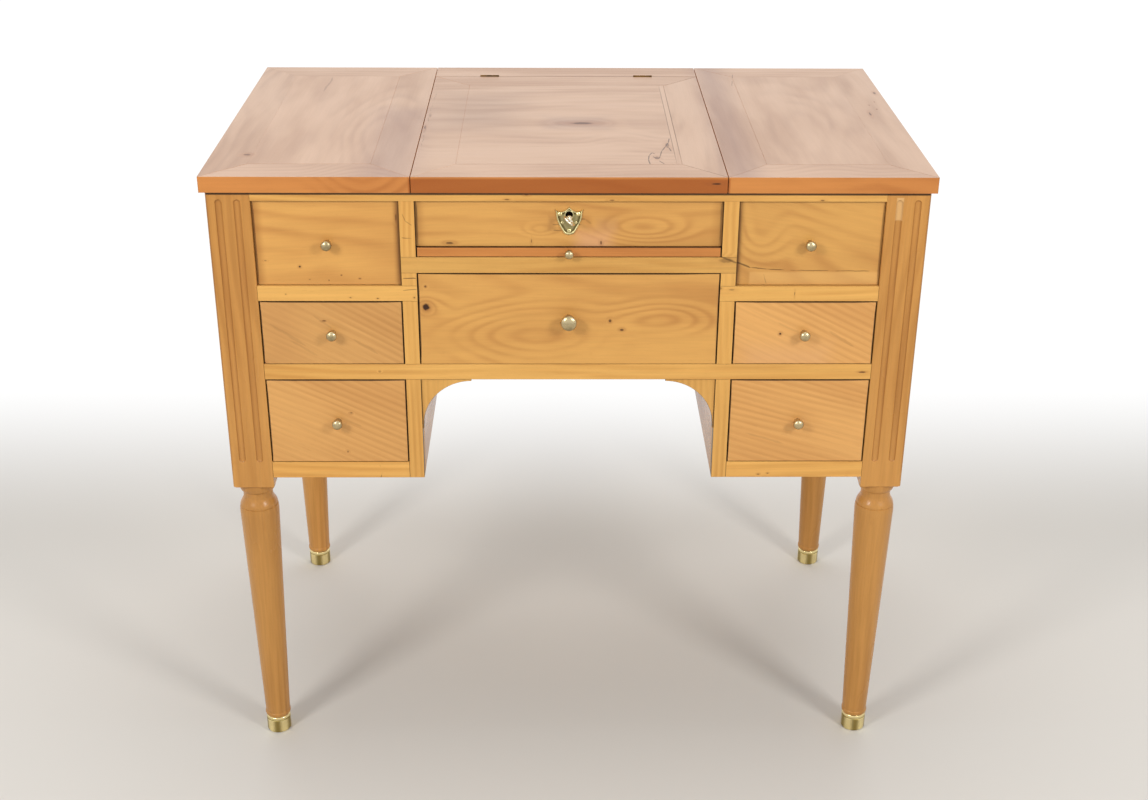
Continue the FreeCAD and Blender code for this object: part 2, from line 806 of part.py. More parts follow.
def drawer(name, x, z, tails, knob_radius, knob_reach):
    x_low = x[0] + cell.drawer_gap
    x_high = x[1] - cell.drawer_gap
    z_low = z[0] + cell.drawer_play
    face = front + cell.drawer_setback
    root_y = face + cell.drawer_front
    rear = panel_front - cell.drawer_rear_gap
    side_top = z[1] - cell.drawer_gap - cell.drawer_side_drop
    base_z = (z_low + cell.drawer_base_rise, z_low + cell.drawer_base_rise + cell.drawer_base)
    base = block(name + "_base", (x_low + cell.drawer_side - cell.drawer_groove,
                                  x_high - cell.drawer_side + cell.drawer_groove),
                 (root_y - cell.drawer_groove, rear), base_z)
    pitch = (side_top - base_z[1]) / tails
    sides = []
    sockets = []
    for word, side_x in (("left", x_low), ("right", x_high - cell.drawer_side)):
        board = block("%s_%s_board" % (name, word), (side_x, side_x + cell.drawer_side), (root_y, rear),
                      (z_low, side_top))
        tail_set = [dovetail("%s_%s_tail_%d" % (name, word, number), side_x, root_y,
                             base_z[1] + pitch * (number + 0.5), pitch * cell.tail_share)
                    for number in range(tails)]
        sockets += tail_set
        joined_side = fuse("%s_%s_joined" % (name, word), board, *tail_set)
        sides.append(cut("%s_%s_side" % (name, word), joined_side, base))
    rear_board = block(name + "_rear", (x_low + cell.drawer_side, x_high - cell.drawer_side),
                       (rear - cell.drawer_back, rear), (base_z[1], side_top))
    knob_piece = knob(name + "_knob_turned", knob_radius, knob_reach, (x[0] + x[1]) / 2, face,
                      (z[0] + z[1]) / 2)
    part(name + "_knob", knob_piece)
    front_board = block(name + "_face", (x_low, x_high), (face, root_y), (z_low, z[1] - cell.drawer_gap))
    part(name + "_front", cut(name + "_front_cut", front_board, base, knob_piece, *sockets))
    part(name + "_box", group(name + "_box_set", sides + [rear_board, base]))


for side, word in SIDES:
    column = span(side, stile_outer, post_inner)
    drawer("middle_drawer_" + word, column, (middle_rail_top, side_rail_low), 2,
           cell.side_knob_radius, cell.side_knob_reach)
    drawer("lower_drawer_" + word, column, (bottom_rail_top, middle_rail_low), 3,
           cell.side_knob_radius, cell.side_knob_reach)
drawer("centre_drawer", (-bay, bay), (middle_rail_top, centre_rail_low), 3,
       cell.centre_knob_radius, cell.centre_knob_reach)


# Pull-out slide above the centre drawer

slide_face = front + cell.drawer_setback
slide_knob = part("slide_knob", knob("slide_knob_turned", cell.slide_knob_radius, cell.slide_knob_reach, 0,
                                     slide_face, (slide_low + slide_top) / 2))
slide_blank = block("slide_blank", (-bay + cell.drawer_gap, bay - cell.drawer_gap),
                    (slide_face, panel_front - cell.slide_rear_gap),
                    (slide_low + cell.drawer_play, slide_top - cell.drawer_play))
part("slide_board", cut("slide_board_cut", slide_blank, slide_knob))


# Lids: mitred bands round a flush panel

lid_front = front - cell.lid_front_overhang
lid_back = back + cell.lid_rear_overhang
lid_outer = half_case + cell.lid_side_overhang
lid_joint = bay + cell.lid_lap
centre_edge = lid_joint - cell.lid_split / 2
side_edge = lid_joint + cell.lid_split / 2
strip_front = lid_back - cell.rear_strip_depth
centre_back = strip_front - cell.lid_split


def mitred(name, long_side, width, thick, x, y, z, turn):
    """Strip with 45 degree ends; its long edge starts at (x, y) and runs along the turned X axis."""
    strip = doc.addObject("Part::Wedge", name)
    bind(strip, Xmin=0, Ymin=0, Zmin=0, Z2min=0, Xmax=long_side, Ymax=width, Zmax=thick, Z2max=thick,
         X2min=width, X2max=long_side - width)
    return place(strip, x, y, z, FreeCAD.Rotation(FreeCAD.Vector(0, 0, 1), turn))


def mitred_frame(name, x, y, low, thick, width):
    long_x = x[1] - x[0]
    long_y = y[1] - y[0]
    return {
        "front": mitred(name + "_front", long_x, width, thick, x[0], y[0], low, 0),
        "right": mitred(name + "_right", long_y, width, thick, x[1], y[0], low, 90),
        "back": mitred(name + "_back", long_x, width, thick, x[1], y[1], low, 180),
        "left": mitred(name + "_left", long_y, width, thick, x[0], y[1], low, 270),
    }


def lid_panel(name, x, y):
    return part(name + "_panel", block(name + "_board", (x[0] + cell.lid_band, x[1] - cell.lid_band),
                                       (y[0] + cell.lid_band, y[1] - cell.lid_band),
                                       (cell.height - cell.lid_panel_thick, cell.height)))


# Hinges of the side lids, on the top edges of the side panels

hinge_x = half_case + (cell.lid_side_overhang + cell.lid_stop_gap) / 2
hinge_z = case_top + cell.lid_gap / 2
knuckle = (cell.lid_side_overhang + cell.lid_stop_gap) / 2 - cell.knuckle_clear
leaf_end = hinge_x - knuckle - cell.knuckle_gap


def knuckle_spans(low, length):
    """Three knuckles with gaps between: the outer two for one leaf, the middle one for the other."""
    third = length / 3
    half_gap = cell.knuckle_gap / 2
    return [(low, low + third - half_gap), (low + third + half_gap, low + 2 * third - half_gap),
            (low + 2 * third + half_gap, low + length)]


# Knuckles have flats; a bore's flats stand clear of the round pin
KNUCKLE_FLATS = 12
CLEAR_OF_ROUND = 1 / math.cos(math.pi / KNUCKLE_FLATS)


def side_leaf(name, side, low, plate_z, spans):
    pieces = [block(name + "_plate", span(side, half_case - cell.leaf_width, leaf_end),
                    (low, low + cell.hinge_length), plate_z)]
    for number, (start, end) in enumerate(spans):
        pieces.append(block("%s_web_%d" % (name, number), span(side, leaf_end, hinge_x), (start, end),
                            plate_z))
        pieces.append(prism("%s_knuckle_%d" % (name, number), KNUCKLE_FLATS, knuckle, end - start,
                            hinge_x * side, start, hinge_z, TURN_Z_TO_Y))
    return pieces


def bored(name, pieces, bore):
    return cut(name, fuse(name + "_joined", *pieces), bore)


case_leaves = []
lid_leaves = {"left": [], "right": []}
lid_cuts = {"left": [], "right": []}
panel_cuts = {"left": [], "right": []}
for side, word in SIDES:
    for end, low in (("front", post_back + cell.hinge_from_post),
                     ("rear", rear_post_front - cell.hinge_from_post - cell.hinge_length)):
        name = "hinge_%s_%s" % (word, end)
        spans = knuckle_spans(low, cell.hinge_length)
        pin = prism(name + "_pin", KNUCKLE_FLATS, cell.pin_radius, cell.hinge_length, hinge_x * side, low,
                    hinge_z, TURN_Z_TO_Y)
        fixed = fuse(name + "_case_leaf", pin, *side_leaf(
            name + "_fixed", side, low, (case_top - cell.leaf_thick, case_top), [spans[0], spans[2]]))
        bore = prism(name + "_bore", KNUCKLE_FLATS, (cell.pin_radius + cell.pin_play) * CLEAR_OF_ROUND,
                     cell.hinge_length, hinge_x * side, low, hinge_z, TURN_Z_TO_Y)
        moving = bored(name + "_lid_leaf", side_leaf(
            name + "_moving", side, low, (lid_under, lid_under + cell.leaf_thick), [spans[1]]), bore)
        room = prism(name + "_room", KNUCKLE_FLATS, (knuckle + cell.knuckle_gap) * CLEAR_OF_ROUND,
                     cell.hinge_length + 2 * cell.knuckle_gap, hinge_x * side, low - cell.knuckle_gap,
                     hinge_z, TURN_Z_TO_Y)
        case_leaves.append(fixed)
        lid_leaves[word].append(moving)
        panel_cuts[word].append(fixed)
        lid_cuts[word] += [moving, room]

for side, word in SIDES:
    part("side_panel_" + word, cut("side_panel_cut_" + word, side_panels[word], *panel_cuts[word]))
    lid_x = span(side, side_edge, lid_outer)
    frame = mitred_frame("lid_%s_band" % word, lid_x, (lid_front, lid_back), lid_under, cell.lid_thick,
                         cell.lid_band)
    frame[word] = cut("lid_%s_outer" % word, frame[word], *lid_cuts[word])
    part("lid_%s_frame" % word, group("lid_%s_bands" % word, frame.values()))
    lid_panel("lid_" + word, lid_x, (lid_front, lid_back))
    part("lid_%s_hinge_leaves" % word, group("lid_%s_leaves" % word, lid_leaves[word]))


# Hinges of the centre lid, between its rear edge and the fixed strip

top_hinge_y = strip_front - cell.lid_split / 2


def top_leaf(name, low, plate_y, spans):
    leaf_top = cell.height - cell.top_knuckle_radius - cell.knuckle_gap
    pieces = [block(name + "_plate", (low, low + cell.top_hinge_length), plate_y,
                    (cell.height - cell.top_leaf_height, leaf_top))]
    for number, (start, end) in enumerate(spans):
        pieces.append(block("%s_web_%d" % (name, number), (start, end), plate_y, (leaf_top, cell.height)))
        pieces.append(prism("%s_knuckle_%d" % (name, number), KNUCKLE_FLATS, cell.top_knuckle_radius,
                            end - start, start, top_hinge_y, cell.height, TURN_Z_TO_X))
    return pieces


centre_leaves = []
strip_cuts = []
centre_cuts = []
for side, word in SIDES:
    near = centre_edge - cell.top_hinge_inset - cell.top_hinge_length
    low = span(side, near, near + cell.top_hinge_length)[0]
    name = "top_hinge_" + word
    spans = knuckle_spans(low, cell.top_hinge_length)
    pin = prism(name + "_pin", KNUCKLE_FLATS, cell.top_pin_radius, cell.top_hinge_length, low, top_hinge_y,
                cell.height, TURN_Z_TO_X)
    fixed = fuse(name + "_strip_leaf", pin, *top_leaf(
        name + "_fixed", low, (strip_front, strip_front + cell.top_leaf_thick), [spans[0], spans[2]]))
    bore = prism(name + "_bore", KNUCKLE_FLATS, (cell.top_pin_radius + cell.pin_play) * CLEAR_OF_ROUND,
                 cell.top_hinge_length, low, top_hinge_y, cell.height, TURN_Z_TO_X)
    moving = bored(name + "_lid_leaf", top_leaf(
        name + "_moving", low, (centre_back - cell.top_leaf_thick, centre_back), [spans[1]]), bore)
    room = prism(name + "_room", KNUCKLE_FLATS, (cell.top_knuckle_radius + cell.knuckle_gap) * CLEAR_OF_ROUND,
                 cell.top_hinge_length + 2 * cell.knuckle_gap, low - cell.knuckle_gap, top_hinge_y,
                 cell.height, TURN_Z_TO_X)
    case_leaves.append(fixed)
    centre_leaves.append(moving)
    strip_cuts += [fixed, room]
    centre_cuts += [moving, room]
part("case_hinges", group("case_hinge_set", case_leaves))
part("lid_centre_hinge_leaves", group("centre_leaf_pair", centre_leaves))
strip = block("strip_bar", (-centre_edge, centre_edge), (strip_front, lid_back), (case_top, cell.height))
part("rear_top_strip", cut("rear_strip_cut", strip, *strip_cuts))


# Centre lid with the looking-glass in its underside and the strike for the bolt

centre_x = (-centre_edge, centre_edge)
centre_y = (lid_front, centre_back)
strike_plate = block("strike_blank", (-cell.strike_length / 2, cell.strike_length / 2),
                     (bolt_middle - cell.strike_width / 2, bolt_middle + cell.strike_width / 2),
                     (lid_under, lid_under + cell.strike_thick))
staple_bar = block("staple_bar", staple_x, staple_y, staple_z)
staple_eye = block("staple_eye", staple_x, eased(bolt_y, cell.staple_play), eased(bolt_z, cell.staple_play))
staple = cut("staple", staple_bar, staple_eye)
part("strike_plate", group("strike_pieces", [strike_plate, staple]))
centre_frame = mitred_frame("lid_centre_band", centre_x, centre_y, lid_under, cell.lid_thick, cell.lid_band)
centre_frame["front"] = cut("lid_centre_front", centre_frame["front"], strike_plate)
centre_frame["back"] = cut("lid_centre_back", centre_frame["back"], *centre_cuts)
# A fillet strip makes up the panel's width at its right edge
fillet_right = centre_x[1] - cell.lid_band
centre_frame["fillet"] = block("lid_centre_fillet", (fillet_right - cell.fillet_width, fillet_right),
                               (centre_y[0] + cell.lid_band, centre_y[1] - cell.lid_band),
                               (cell.height - cell.lid_panel_thick, cell.height))
part("lid_centre_frame", group("lid_centre_bands", centre_frame.values()))
lid_panel("lid_centre", (centre_x[0], centre_x[1] - cell.fillet_width), centre_y)

recess_x = (centre_x[0] + cell.lid_band, centre_x[1] - cell.lid_band)
recess_y = (centre_y[0] + cell.lid_band, centre_y[1] - cell.lid_band)
glass_top = cell.height - cell.lid_panel_thick
part("mirror_glass", block("glass_sheet", (recess_x[0] + cell.mirror_play, recess_x[1] - cell.mirror_play),
                           (recess_y[0] + cell.mirror_play, recess_y[1] - cell.mirror_play),
                           (glass_top - cell.mirror_thick, glass_top)))
beads = mitred_frame("bead", recess_x, recess_y, glass_top - cell.mirror_thick - cell.bead_height,
                     cell.bead_height, cell.bead_width)
part("mirror_beads", group("bead_set", beads.values()))


# Check every object, then write one file per sub-part

doc.recompute()
broken = [obj.Name for obj in doc.Objects if {"Invalid", "Error"} & set(obj.State)]
if broken:
    raise RuntimeError("not built: " + ", ".join(broken))
for name, obj in parts.items():
    if obj.Shape.isNull() or not obj.Shape.isValid():
        raise RuntimeError("bad shape: " + name)
os.makedirs("parts", exist_ok=True)
for name, obj in parts.items():
    obj.Shape.exportStep("parts/%s.step" % name)
box = Part.makeCompound([obj.Shape for obj in parts.values()]).BoundBox
print("%d sub-parts, box %.1f x %.1f x %.1f mm" % (len(parts), box.XLength, box.YLength, box.ZLength))
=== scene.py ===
# %% [markdown]
# # A dressing table in honey-coloured fruitwood
# The frame holds every wooden and metal piece at its true size, in metres, with the floor at zero.
# This lesson dresses that frame: boards with grain, turned legs, brass and a looking-glass.

# %% Open the frame
import json
import math
import bmesh
import bpy
import numpy as np
from mathutils import Matrix, Vector

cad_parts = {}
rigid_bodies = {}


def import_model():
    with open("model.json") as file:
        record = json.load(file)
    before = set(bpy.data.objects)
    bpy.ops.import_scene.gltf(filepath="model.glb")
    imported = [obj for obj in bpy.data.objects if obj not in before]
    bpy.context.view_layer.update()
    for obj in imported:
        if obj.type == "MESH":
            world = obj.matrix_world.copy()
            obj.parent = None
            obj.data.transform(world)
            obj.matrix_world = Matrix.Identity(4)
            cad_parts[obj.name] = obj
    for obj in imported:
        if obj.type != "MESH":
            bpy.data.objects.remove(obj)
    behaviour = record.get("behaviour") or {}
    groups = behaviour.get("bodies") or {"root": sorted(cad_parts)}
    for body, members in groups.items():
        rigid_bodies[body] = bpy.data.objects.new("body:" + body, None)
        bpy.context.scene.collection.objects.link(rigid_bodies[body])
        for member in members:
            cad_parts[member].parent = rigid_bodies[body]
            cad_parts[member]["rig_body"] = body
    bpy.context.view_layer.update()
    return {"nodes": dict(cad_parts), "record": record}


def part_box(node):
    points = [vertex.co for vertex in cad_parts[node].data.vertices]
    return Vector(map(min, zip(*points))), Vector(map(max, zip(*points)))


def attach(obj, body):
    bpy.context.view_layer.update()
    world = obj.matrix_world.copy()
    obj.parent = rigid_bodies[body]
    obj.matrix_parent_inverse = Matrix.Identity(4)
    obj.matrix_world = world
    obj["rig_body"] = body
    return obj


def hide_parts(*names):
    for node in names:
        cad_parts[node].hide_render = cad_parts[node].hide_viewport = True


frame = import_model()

nodes = frame["nodes"]
print("pieces in the frame:", len(nodes))

# %% [markdown]
# ## Where the viewer stands
# The table is seen from the front at standing height, a little over 1.8 m away.
# The lens and the tilt were found by matching the corners of the lids, the posts and the feet.
# Three angles are enough: how far the view looks down, how far it swings, and a small lean.

# %% Set the camera
LENS = 50.11
EYE = Vector((-0.0189, -1.8643, 1.2669))
DOWN, SWING, LEAN = np.radians((25.785, 0.884, 0.355))

ahead = Vector((math.sin(SWING) * math.cos(DOWN), math.cos(SWING) * math.cos(DOWN), -math.sin(DOWN)))
level = Vector((math.cos(SWING), -math.sin(SWING), 0))
rise = level.cross(ahead)
right = level * math.cos(LEAN) + rise * math.sin(LEAN)
up = rise * math.cos(LEAN) - level * math.sin(LEAN)

camera = bpy.data.objects.new("camera", bpy.data.cameras.new("camera"))
bpy.context.scene.collection.objects.link(camera)
camera.data.lens = LENS
camera.matrix_world = Matrix((right, up, -ahead)).transposed().to_4x4()
camera.matrix_world.translation = EYE
bpy.context.scene.camera = camera
print("camera looks along", [round(v, 3) for v in ahead])

# %% [markdown]
# ## Shader steps in one line
# A finish is a chain of small sums. A few helpers keep each sum on one line.
# `step` adds one node to a tree and feeds its open sockets in order. A socket knows its tree,
# so the sums that start from another socket need no tree. `group` opens a reusable chain with named ends.
# `paint` is the step that finishes use most: it lays one colour over another through a mask.

# %% Helpers for shader chains
def feed(socket, value):
    """Join another socket to this one, or set it to a plain value."""
    if isinstance(value, bpy.types.NodeSocket):
        socket.id_data.links.new(value, socket)
    else:
        socket.default_value = value


def step(tree, kind, *values, out=0, named=None, **settings):
    """Add one node, set it up, and feed its open sockets with numbers or other sockets."""
    made = tree.nodes.new(kind)
    for key, value in settings.items():
        setattr(made, key, value)
    open_sockets = [s for s in made.inputs if s.enabled]
    pairs = list(zip(open_sockets, values))
    pairs += [(made.inputs[label], value) for label, value in (named or {}).items()]
    for socket, value in pairs:
        feed(socket, value)
    if isinstance(out, str):
        return made.outputs[out]
    return [s for s in made.outputs if s.enabled][out]


def chain(kind, *values, **settings):
    """Add one node to the tree that its first fed socket comes from."""
    tree = next(value.id_data for value in values if isinstance(value, bpy.types.NodeSocket))
    return step(tree, kind, *values, **settings)


print("frame pieces wait for a finish:", sum(node.type == "MESH" for node in nodes.values()))

# %% Sums and colours
def sums(operation, *values):
    """One sum of plain numbers."""
    return chain("ShaderNodeMath", *values, operation=operation)


def vectors(operation, *values):
    """One sum of places or directions."""
    return chain("ShaderNodeVectorMath", *values, operation=operation)


def blend(factor, first, second):
    """The first colour where the factor is 0, the second where it is 1."""
    return chain("ShaderNodeMix", factor, first, second, data_type="RGBA")


def paint(mask, strength, under, over):
    """Lay a colour over another: mask times strength says how much of it covers."""
    return blend(sums("MULTIPLY", mask, strength), under, over)


def ramp(value, low, high, start=0.0, end=1.0):
    """Map low..high smoothly to start..end."""
    return chain("ShaderNodeMapRange", value, low, high, start, end, interpolation_type="SMOOTHSTEP")


def tint(code):
    """Turn a painter's colour code, such as D9A05B, into linear light."""
    shares = np.array([int(code[i:i + 2], 16) for i in (0, 2, 4)]) / 255
    linear = np.where(shares <= 0.04045, shares / 12.92, ((shares + 0.055) / 1.055) ** 2.4)
    return (*linear.tolist(), 1.0)


print("honey colour in linear light:", [round(v, 3) for v in tint("D9A05B")])

# %% Helpers for groups and finishes
def group(name, inputs, outputs):
    """Open a node group with named sockets; gives the tree, its inner inputs and its inner outputs."""
    tree = bpy.data.node_groups.new(name, "ShaderNodeTree")
    for label, usual in inputs.items():
        kind = "NodeSocketVector" if isinstance(usual, tuple) else "NodeSocketFloat"
        tree.interface.new_socket(label, in_out="INPUT", socket_type=kind).default_value = usual
    for label in outputs:
        tree.interface.new_socket(label, in_out="OUTPUT", socket_type="NodeSocketFloat")
    return tree, tree.nodes.new("NodeGroupInput").outputs, tree.nodes.new("NodeGroupOutput").inputs


def use(tree, shared, **values):
    """Place a group in a tree; gives its output sockets by name."""
    made = tree.nodes.new("ShaderNodeGroup")
    made.node_tree = shared
    for label, value in values.items():
        feed(made.inputs[label], value)
    return made.outputs


def new_finish(name):
    """A new material, with its node tree."""
    made = bpy.data.materials.new(name)
    made.use_nodes = True
    return made, made.node_tree


def dress(tree, values):
    """Feed the main shader of a finish, by the names of its sockets."""
    for label, value in values.items():
        feed(tree.nodes["Principled BSDF"].inputs[label], value)


def object_spot(tree):
    """The place of a spot on its piece, in metres from the table's own origin."""
    return step(tree, "ShaderNodeTexCoord", out="Object")


print("finishes so far:", len(bpy.data.materials))

# %% [markdown]
# ## How a board gets its figure
# A trunk is a stack of cones about its heart line. A board shows their rings as lines and arches.
# Each board carries two facts: the run of its tree's heart line, and one point on it.
# The group measures how far each spot lies from that line. Slow noise bends the rings as growth did.
# Fine noise, drawn out along the heart line, gives fibres and pores.

# %% Grain group
grain_group, given, result = group(
    "wood_grain", {"Ring": 0.006, "Warp": 0.006, "Swell": 0.0, "Line": 1.6, "Least": 0.1},
    ["Rings", "Fibre", "Pores", "Cloud", "Tone"])
axis = step(grain_group, "ShaderNodeAttribute", out="Vector", attribute_name="tree_axis")
heart = step(grain_group, "ShaderNodeAttribute", out="Vector", attribute_name="tree_heart")
tone = step(grain_group, "ShaderNodeAttribute", out="Fac", attribute_name="board_tone")
offset = vectors("SUBTRACT", object_spot(grain_group), heart)
run = vectors("DOT_PRODUCT", offset, axis)
along = vectors("SCALE", axis, run)
aside = vectors("SUBTRACT", offset, along)


def drawn_out(share, scale, detail, out="Fac"):
    """Noise whose features are longer along the tree by one over the share."""
    where = vectors("ADD", aside, vectors("SCALE", along, share))
    settings = {"Scale": scale, "Detail": detail, "Roughness": 0.55}
    return chain("ShaderNodeTexNoise", where, out=out, named=settings)


bend = vectors("SUBTRACT", drawn_out(0.22, 11.0, 2.0, "Color"), (0.5, 0.5, 0.5))
bend = vectors("SCALE", bend, sums("MULTIPLY", given["Warp"], 4.0))
radius = vectors("LENGTH", vectors("ADD", aside, bend))
radius = sums("ADD", radius, given["Swell"])
turns = sums("DIVIDE", radius, given["Ring"])
turns = sums("ADD", turns, sums("MULTIPLY", drawn_out(0.5, 6.0, 1.0), 5.0))
share = sums("FRACT", turns)
late = sums("MULTIPLY", sums("POWER", share, 1.6), math.pi)
late = sums("POWER", sums("SINE", late), given["Line"])
strength = ramp(drawn_out(0.3, 16.0, 3.0), 0.36, 0.66, given["Least"], 1.3)
feed(result["Rings"], sums("MULTIPLY", late, strength))
feed(result["Fibre"], drawn_out(0.03, 420.0, 3.0))
feed(result["Cloud"], drawn_out(0.2, 17.0, 3.0))
feed(result["Pores"], ramp(drawn_out(0.07, 1500.0, 1.0), 0.64, 0.72))
feed(result["Tone"], tone)
print("grain group has", len(grain_group.nodes), "steps")

# %% [markdown]
# ## Marks of two centuries
# Old boards have knots, drying cracks, worm holes and mended patches, and painted shade darkens the gaps
# between their parts.
# Each kind of mark is a small group that gives a mask, measured in the table's own places.
# A knot is a soft dark oval with a halo. Noise pushes its core about, so it isn't a neat ellipse.

# %% Knots
knot_group, given, result = group("knot", {"Centre": (0, 0, 0), "Size": (1, 1, 1)}, ["Core", "Halo"])


def shaken(spot, amount, **noise):
    """A place moved about by noise, up to half the amount each way."""
    rough = chain("ShaderNodeTexNoise", spot, out="Color", named=noise)
    rough = vectors("SUBTRACT", rough, (0.5, 0.5, 0.5))
    return vectors("SCALE", rough, amount)


spot = object_spot(knot_group)
gap = vectors("DIVIDE", vectors("SUBTRACT", spot, given["Centre"]), given["Size"])
rough = shaken(spot, 0.6, Scale=260.0)
core = vectors("LENGTH", vectors("ADD", gap, rough))
feed(result["Core"], ramp(core, 0.55, 1.05, 1.0, 0.0))
halo = vectors("LENGTH", gap)
feed(result["Halo"], ramp(halo, 0.0, 3.2, 1.0, 0.0))
print("knot group has", len(knot_group.nodes), "steps")

# %% [markdown]
# A crack, like a painted line of shade, is the distance to a straight line, and noise makes it wander. It
# thins out towards its ends.

# %% Cracks and painted lines of shade
crack_and_shade_group, given, result = group(
    "crack_and_shade_line", {"Start": (0, 0, 0), "End": (1, 0, 0), "Width": 0.001, "Wander": 0.004}, ["Mask"])
spot = object_spot(crack_and_shade_group)
rough = shaken(spot, given["Wander"], Scale=45.0, Detail=4.0)
spot = vectors("ADD", spot, rough)
line = vectors("SUBTRACT", given["End"], given["Start"])
gone = vectors("SUBTRACT", spot, given["Start"])
reach = vectors("DOT_PRODUCT", line, line)
share = sums("DIVIDE", vectors("DOT_PRODUCT", gone, line), reach)
share = chain("ShaderNodeClamp", share)
foot = vectors("SCALE", line, share)
away = vectors("LENGTH", vectors("SUBTRACT", gone, foot))
middle = sums("ABSOLUTE", sums("SUBTRACT", share, 0.5))
width = sums("MULTIPLY", given["Width"], ramp(middle, 0.3, 0.52, 1.0, 0.35))
away = sums("DIVIDE", away, width)
feed(result["Mask"], ramp(away, 0.5, 1.3, 1.0, 0.0))
print("crack group has", len(crack_and_shade_group.nodes), "steps")

# %% [markdown]
# A patch is a box with soft sides: the worst of the six distances past its walls fades it out.

# %% Patches
patch_group, given, result = group(
    "patch", {"Low": (0, 0, 0), "High": (1, 1, 1), "Soft": 0.001}, ["Mask"])
spot = object_spot(patch_group)
under = vectors("SUBTRACT", given["Low"], spot)
over = vectors("SUBTRACT", spot, given["High"])
past = vectors("MAXIMUM", under, over)
past = chain("ShaderNodeSeparateXYZ", past).node.outputs
outside = sums("MAXIMUM", sums("MAXIMUM", past["X"], past["Y"]), past["Z"])
edge = sums("DIVIDE", outside, given["Soft"])
feed(result["Mask"], ramp(edge, -1.0, 1.0, 1.0, 0.0))
print("patch group has", len(patch_group.nodes), "steps")

# %% [markdown]
# Painted shade blackens the edges of the drawers and the first few millimetres of the gaps round them.
# The gap group finds those faces by the way they turn from the front, and by their depth.

# %% Painted shade in the gaps
GAP_NEAR, GAP_FAR = -0.217, -0.209

gap_group, given, result = group("gap_shade", {"Upward": 1.0}, ["Mask"])
depth = chain("ShaderNodeSeparateXYZ", object_spot(gap_group), out="Y")
normal = step(gap_group, "ShaderNodeTexCoord", out="Normal")
facing = chain("ShaderNodeSeparateXYZ", normal).node.outputs
turned = ramp(sums("ABSOLUTE", facing["Y"]), 0.72, 0.99, 1.0, 0.0)
upward = ramp(facing["Z"], 0.3, 0.7, 1.0, given["Upward"])
turned = sums("MULTIPLY", turned, upward)
depth = ramp(depth, GAP_NEAR, GAP_FAR, 1.0, 0.15)
feed(result["Mask"], sums("MULTIPLY", turned, depth))
print("gap group has", len(gap_group.nodes), "steps")

# %% [markdown]
# ## One recipe for every wood on the table
# The recipe starts from a pale and a deep colour and lays rings, clouds, fibres and pores over them.
# Marks come last, as they do on the real table. A thin wax coat gives the satin shine.
# Swells lift the rings in an oval, so the figure closes into eyes where the photo shows them.
# The upper sides of the lids take paler, pinker colours than their edges, chosen by the facing: partly
# fading by the sun, partly a painted sheen of the bright room.

# %% Lay marks on a wood
KNOT_BROWN, HALO_BROWN, GAP_BROWN, FLUTE_SHADE_BROWN = (
    tint(code) for code in ("3A1E0C", "96562A", "24140A", "8A5320"))
KNOT_LIFT, HALO_SHARE, GAP_SHARE = 1.2, 0.45, 0.88


def metres(values):
    """Millimetres to metres."""
    return np.array(values) / 1000


def ring_lift(tree, swells, knots, ring):
    """How far rings are lifted: each halo times the rise of its swell, or 1.2 rings at a knot, summed."""
    ovals = [(centre, np.array(size) / 3, rise / 1000) for centre, size, rise in swells]
    ovals += [(centre, size, KNOT_LIFT * ring) for centre, size, dark in knots]
    lift = 0.0
    for centre, size, rise in ovals:
        halo = use(tree, knot_group, Centre=metres(centre), Size=metres(size))["Halo"]
        lift = sums("ADD", lift, sums("MULTIPLY", halo, rise))
    return lift


def lay_patches(tree, colour, patches):
    """Colour soft boxes of the wood, each with its own colour and strength: stains, and some painted shade.
    """
    for low, high, soft, code, strength in patches:
        mask = use(tree, patch_group, Low=metres(low), High=metres(high), Soft=soft / 1000)["Mask"]
        colour = paint(mask, strength, colour, tint(code))
    return colour


def lay_knots(tree, colour, knots):
    """Darken each knot, with a weaker halo round it."""
    for centre, size, dark in knots:
        mark = use(tree, knot_group, Centre=metres(centre), Size=metres(size))
        colour = paint(mark["Halo"], HALO_SHARE * dark, colour, HALO_BROWN)
        colour = paint(mark["Core"], dark, colour, KNOT_BROWN)
    return colour


def lay_cracks_and_shade(tree, colour, cracks_and_shade):
    """Draw each line in dark brown: splits and joints as old dirt, edge lines of the fronts as painted
    shade.
    """
    for start, end, width, wander, strength in cracks_and_shade:
        mask = use(tree, crack_and_shade_group, Start=metres(start), End=metres(end), Width=width / 1000,
                   Wander=wander / 1000)["Mask"]
        colour = paint(mask, strength, colour, GAP_BROWN)
    return colour


print("brown of knots in linear light:", [round(v, 3) for v in KNOT_BROWN])

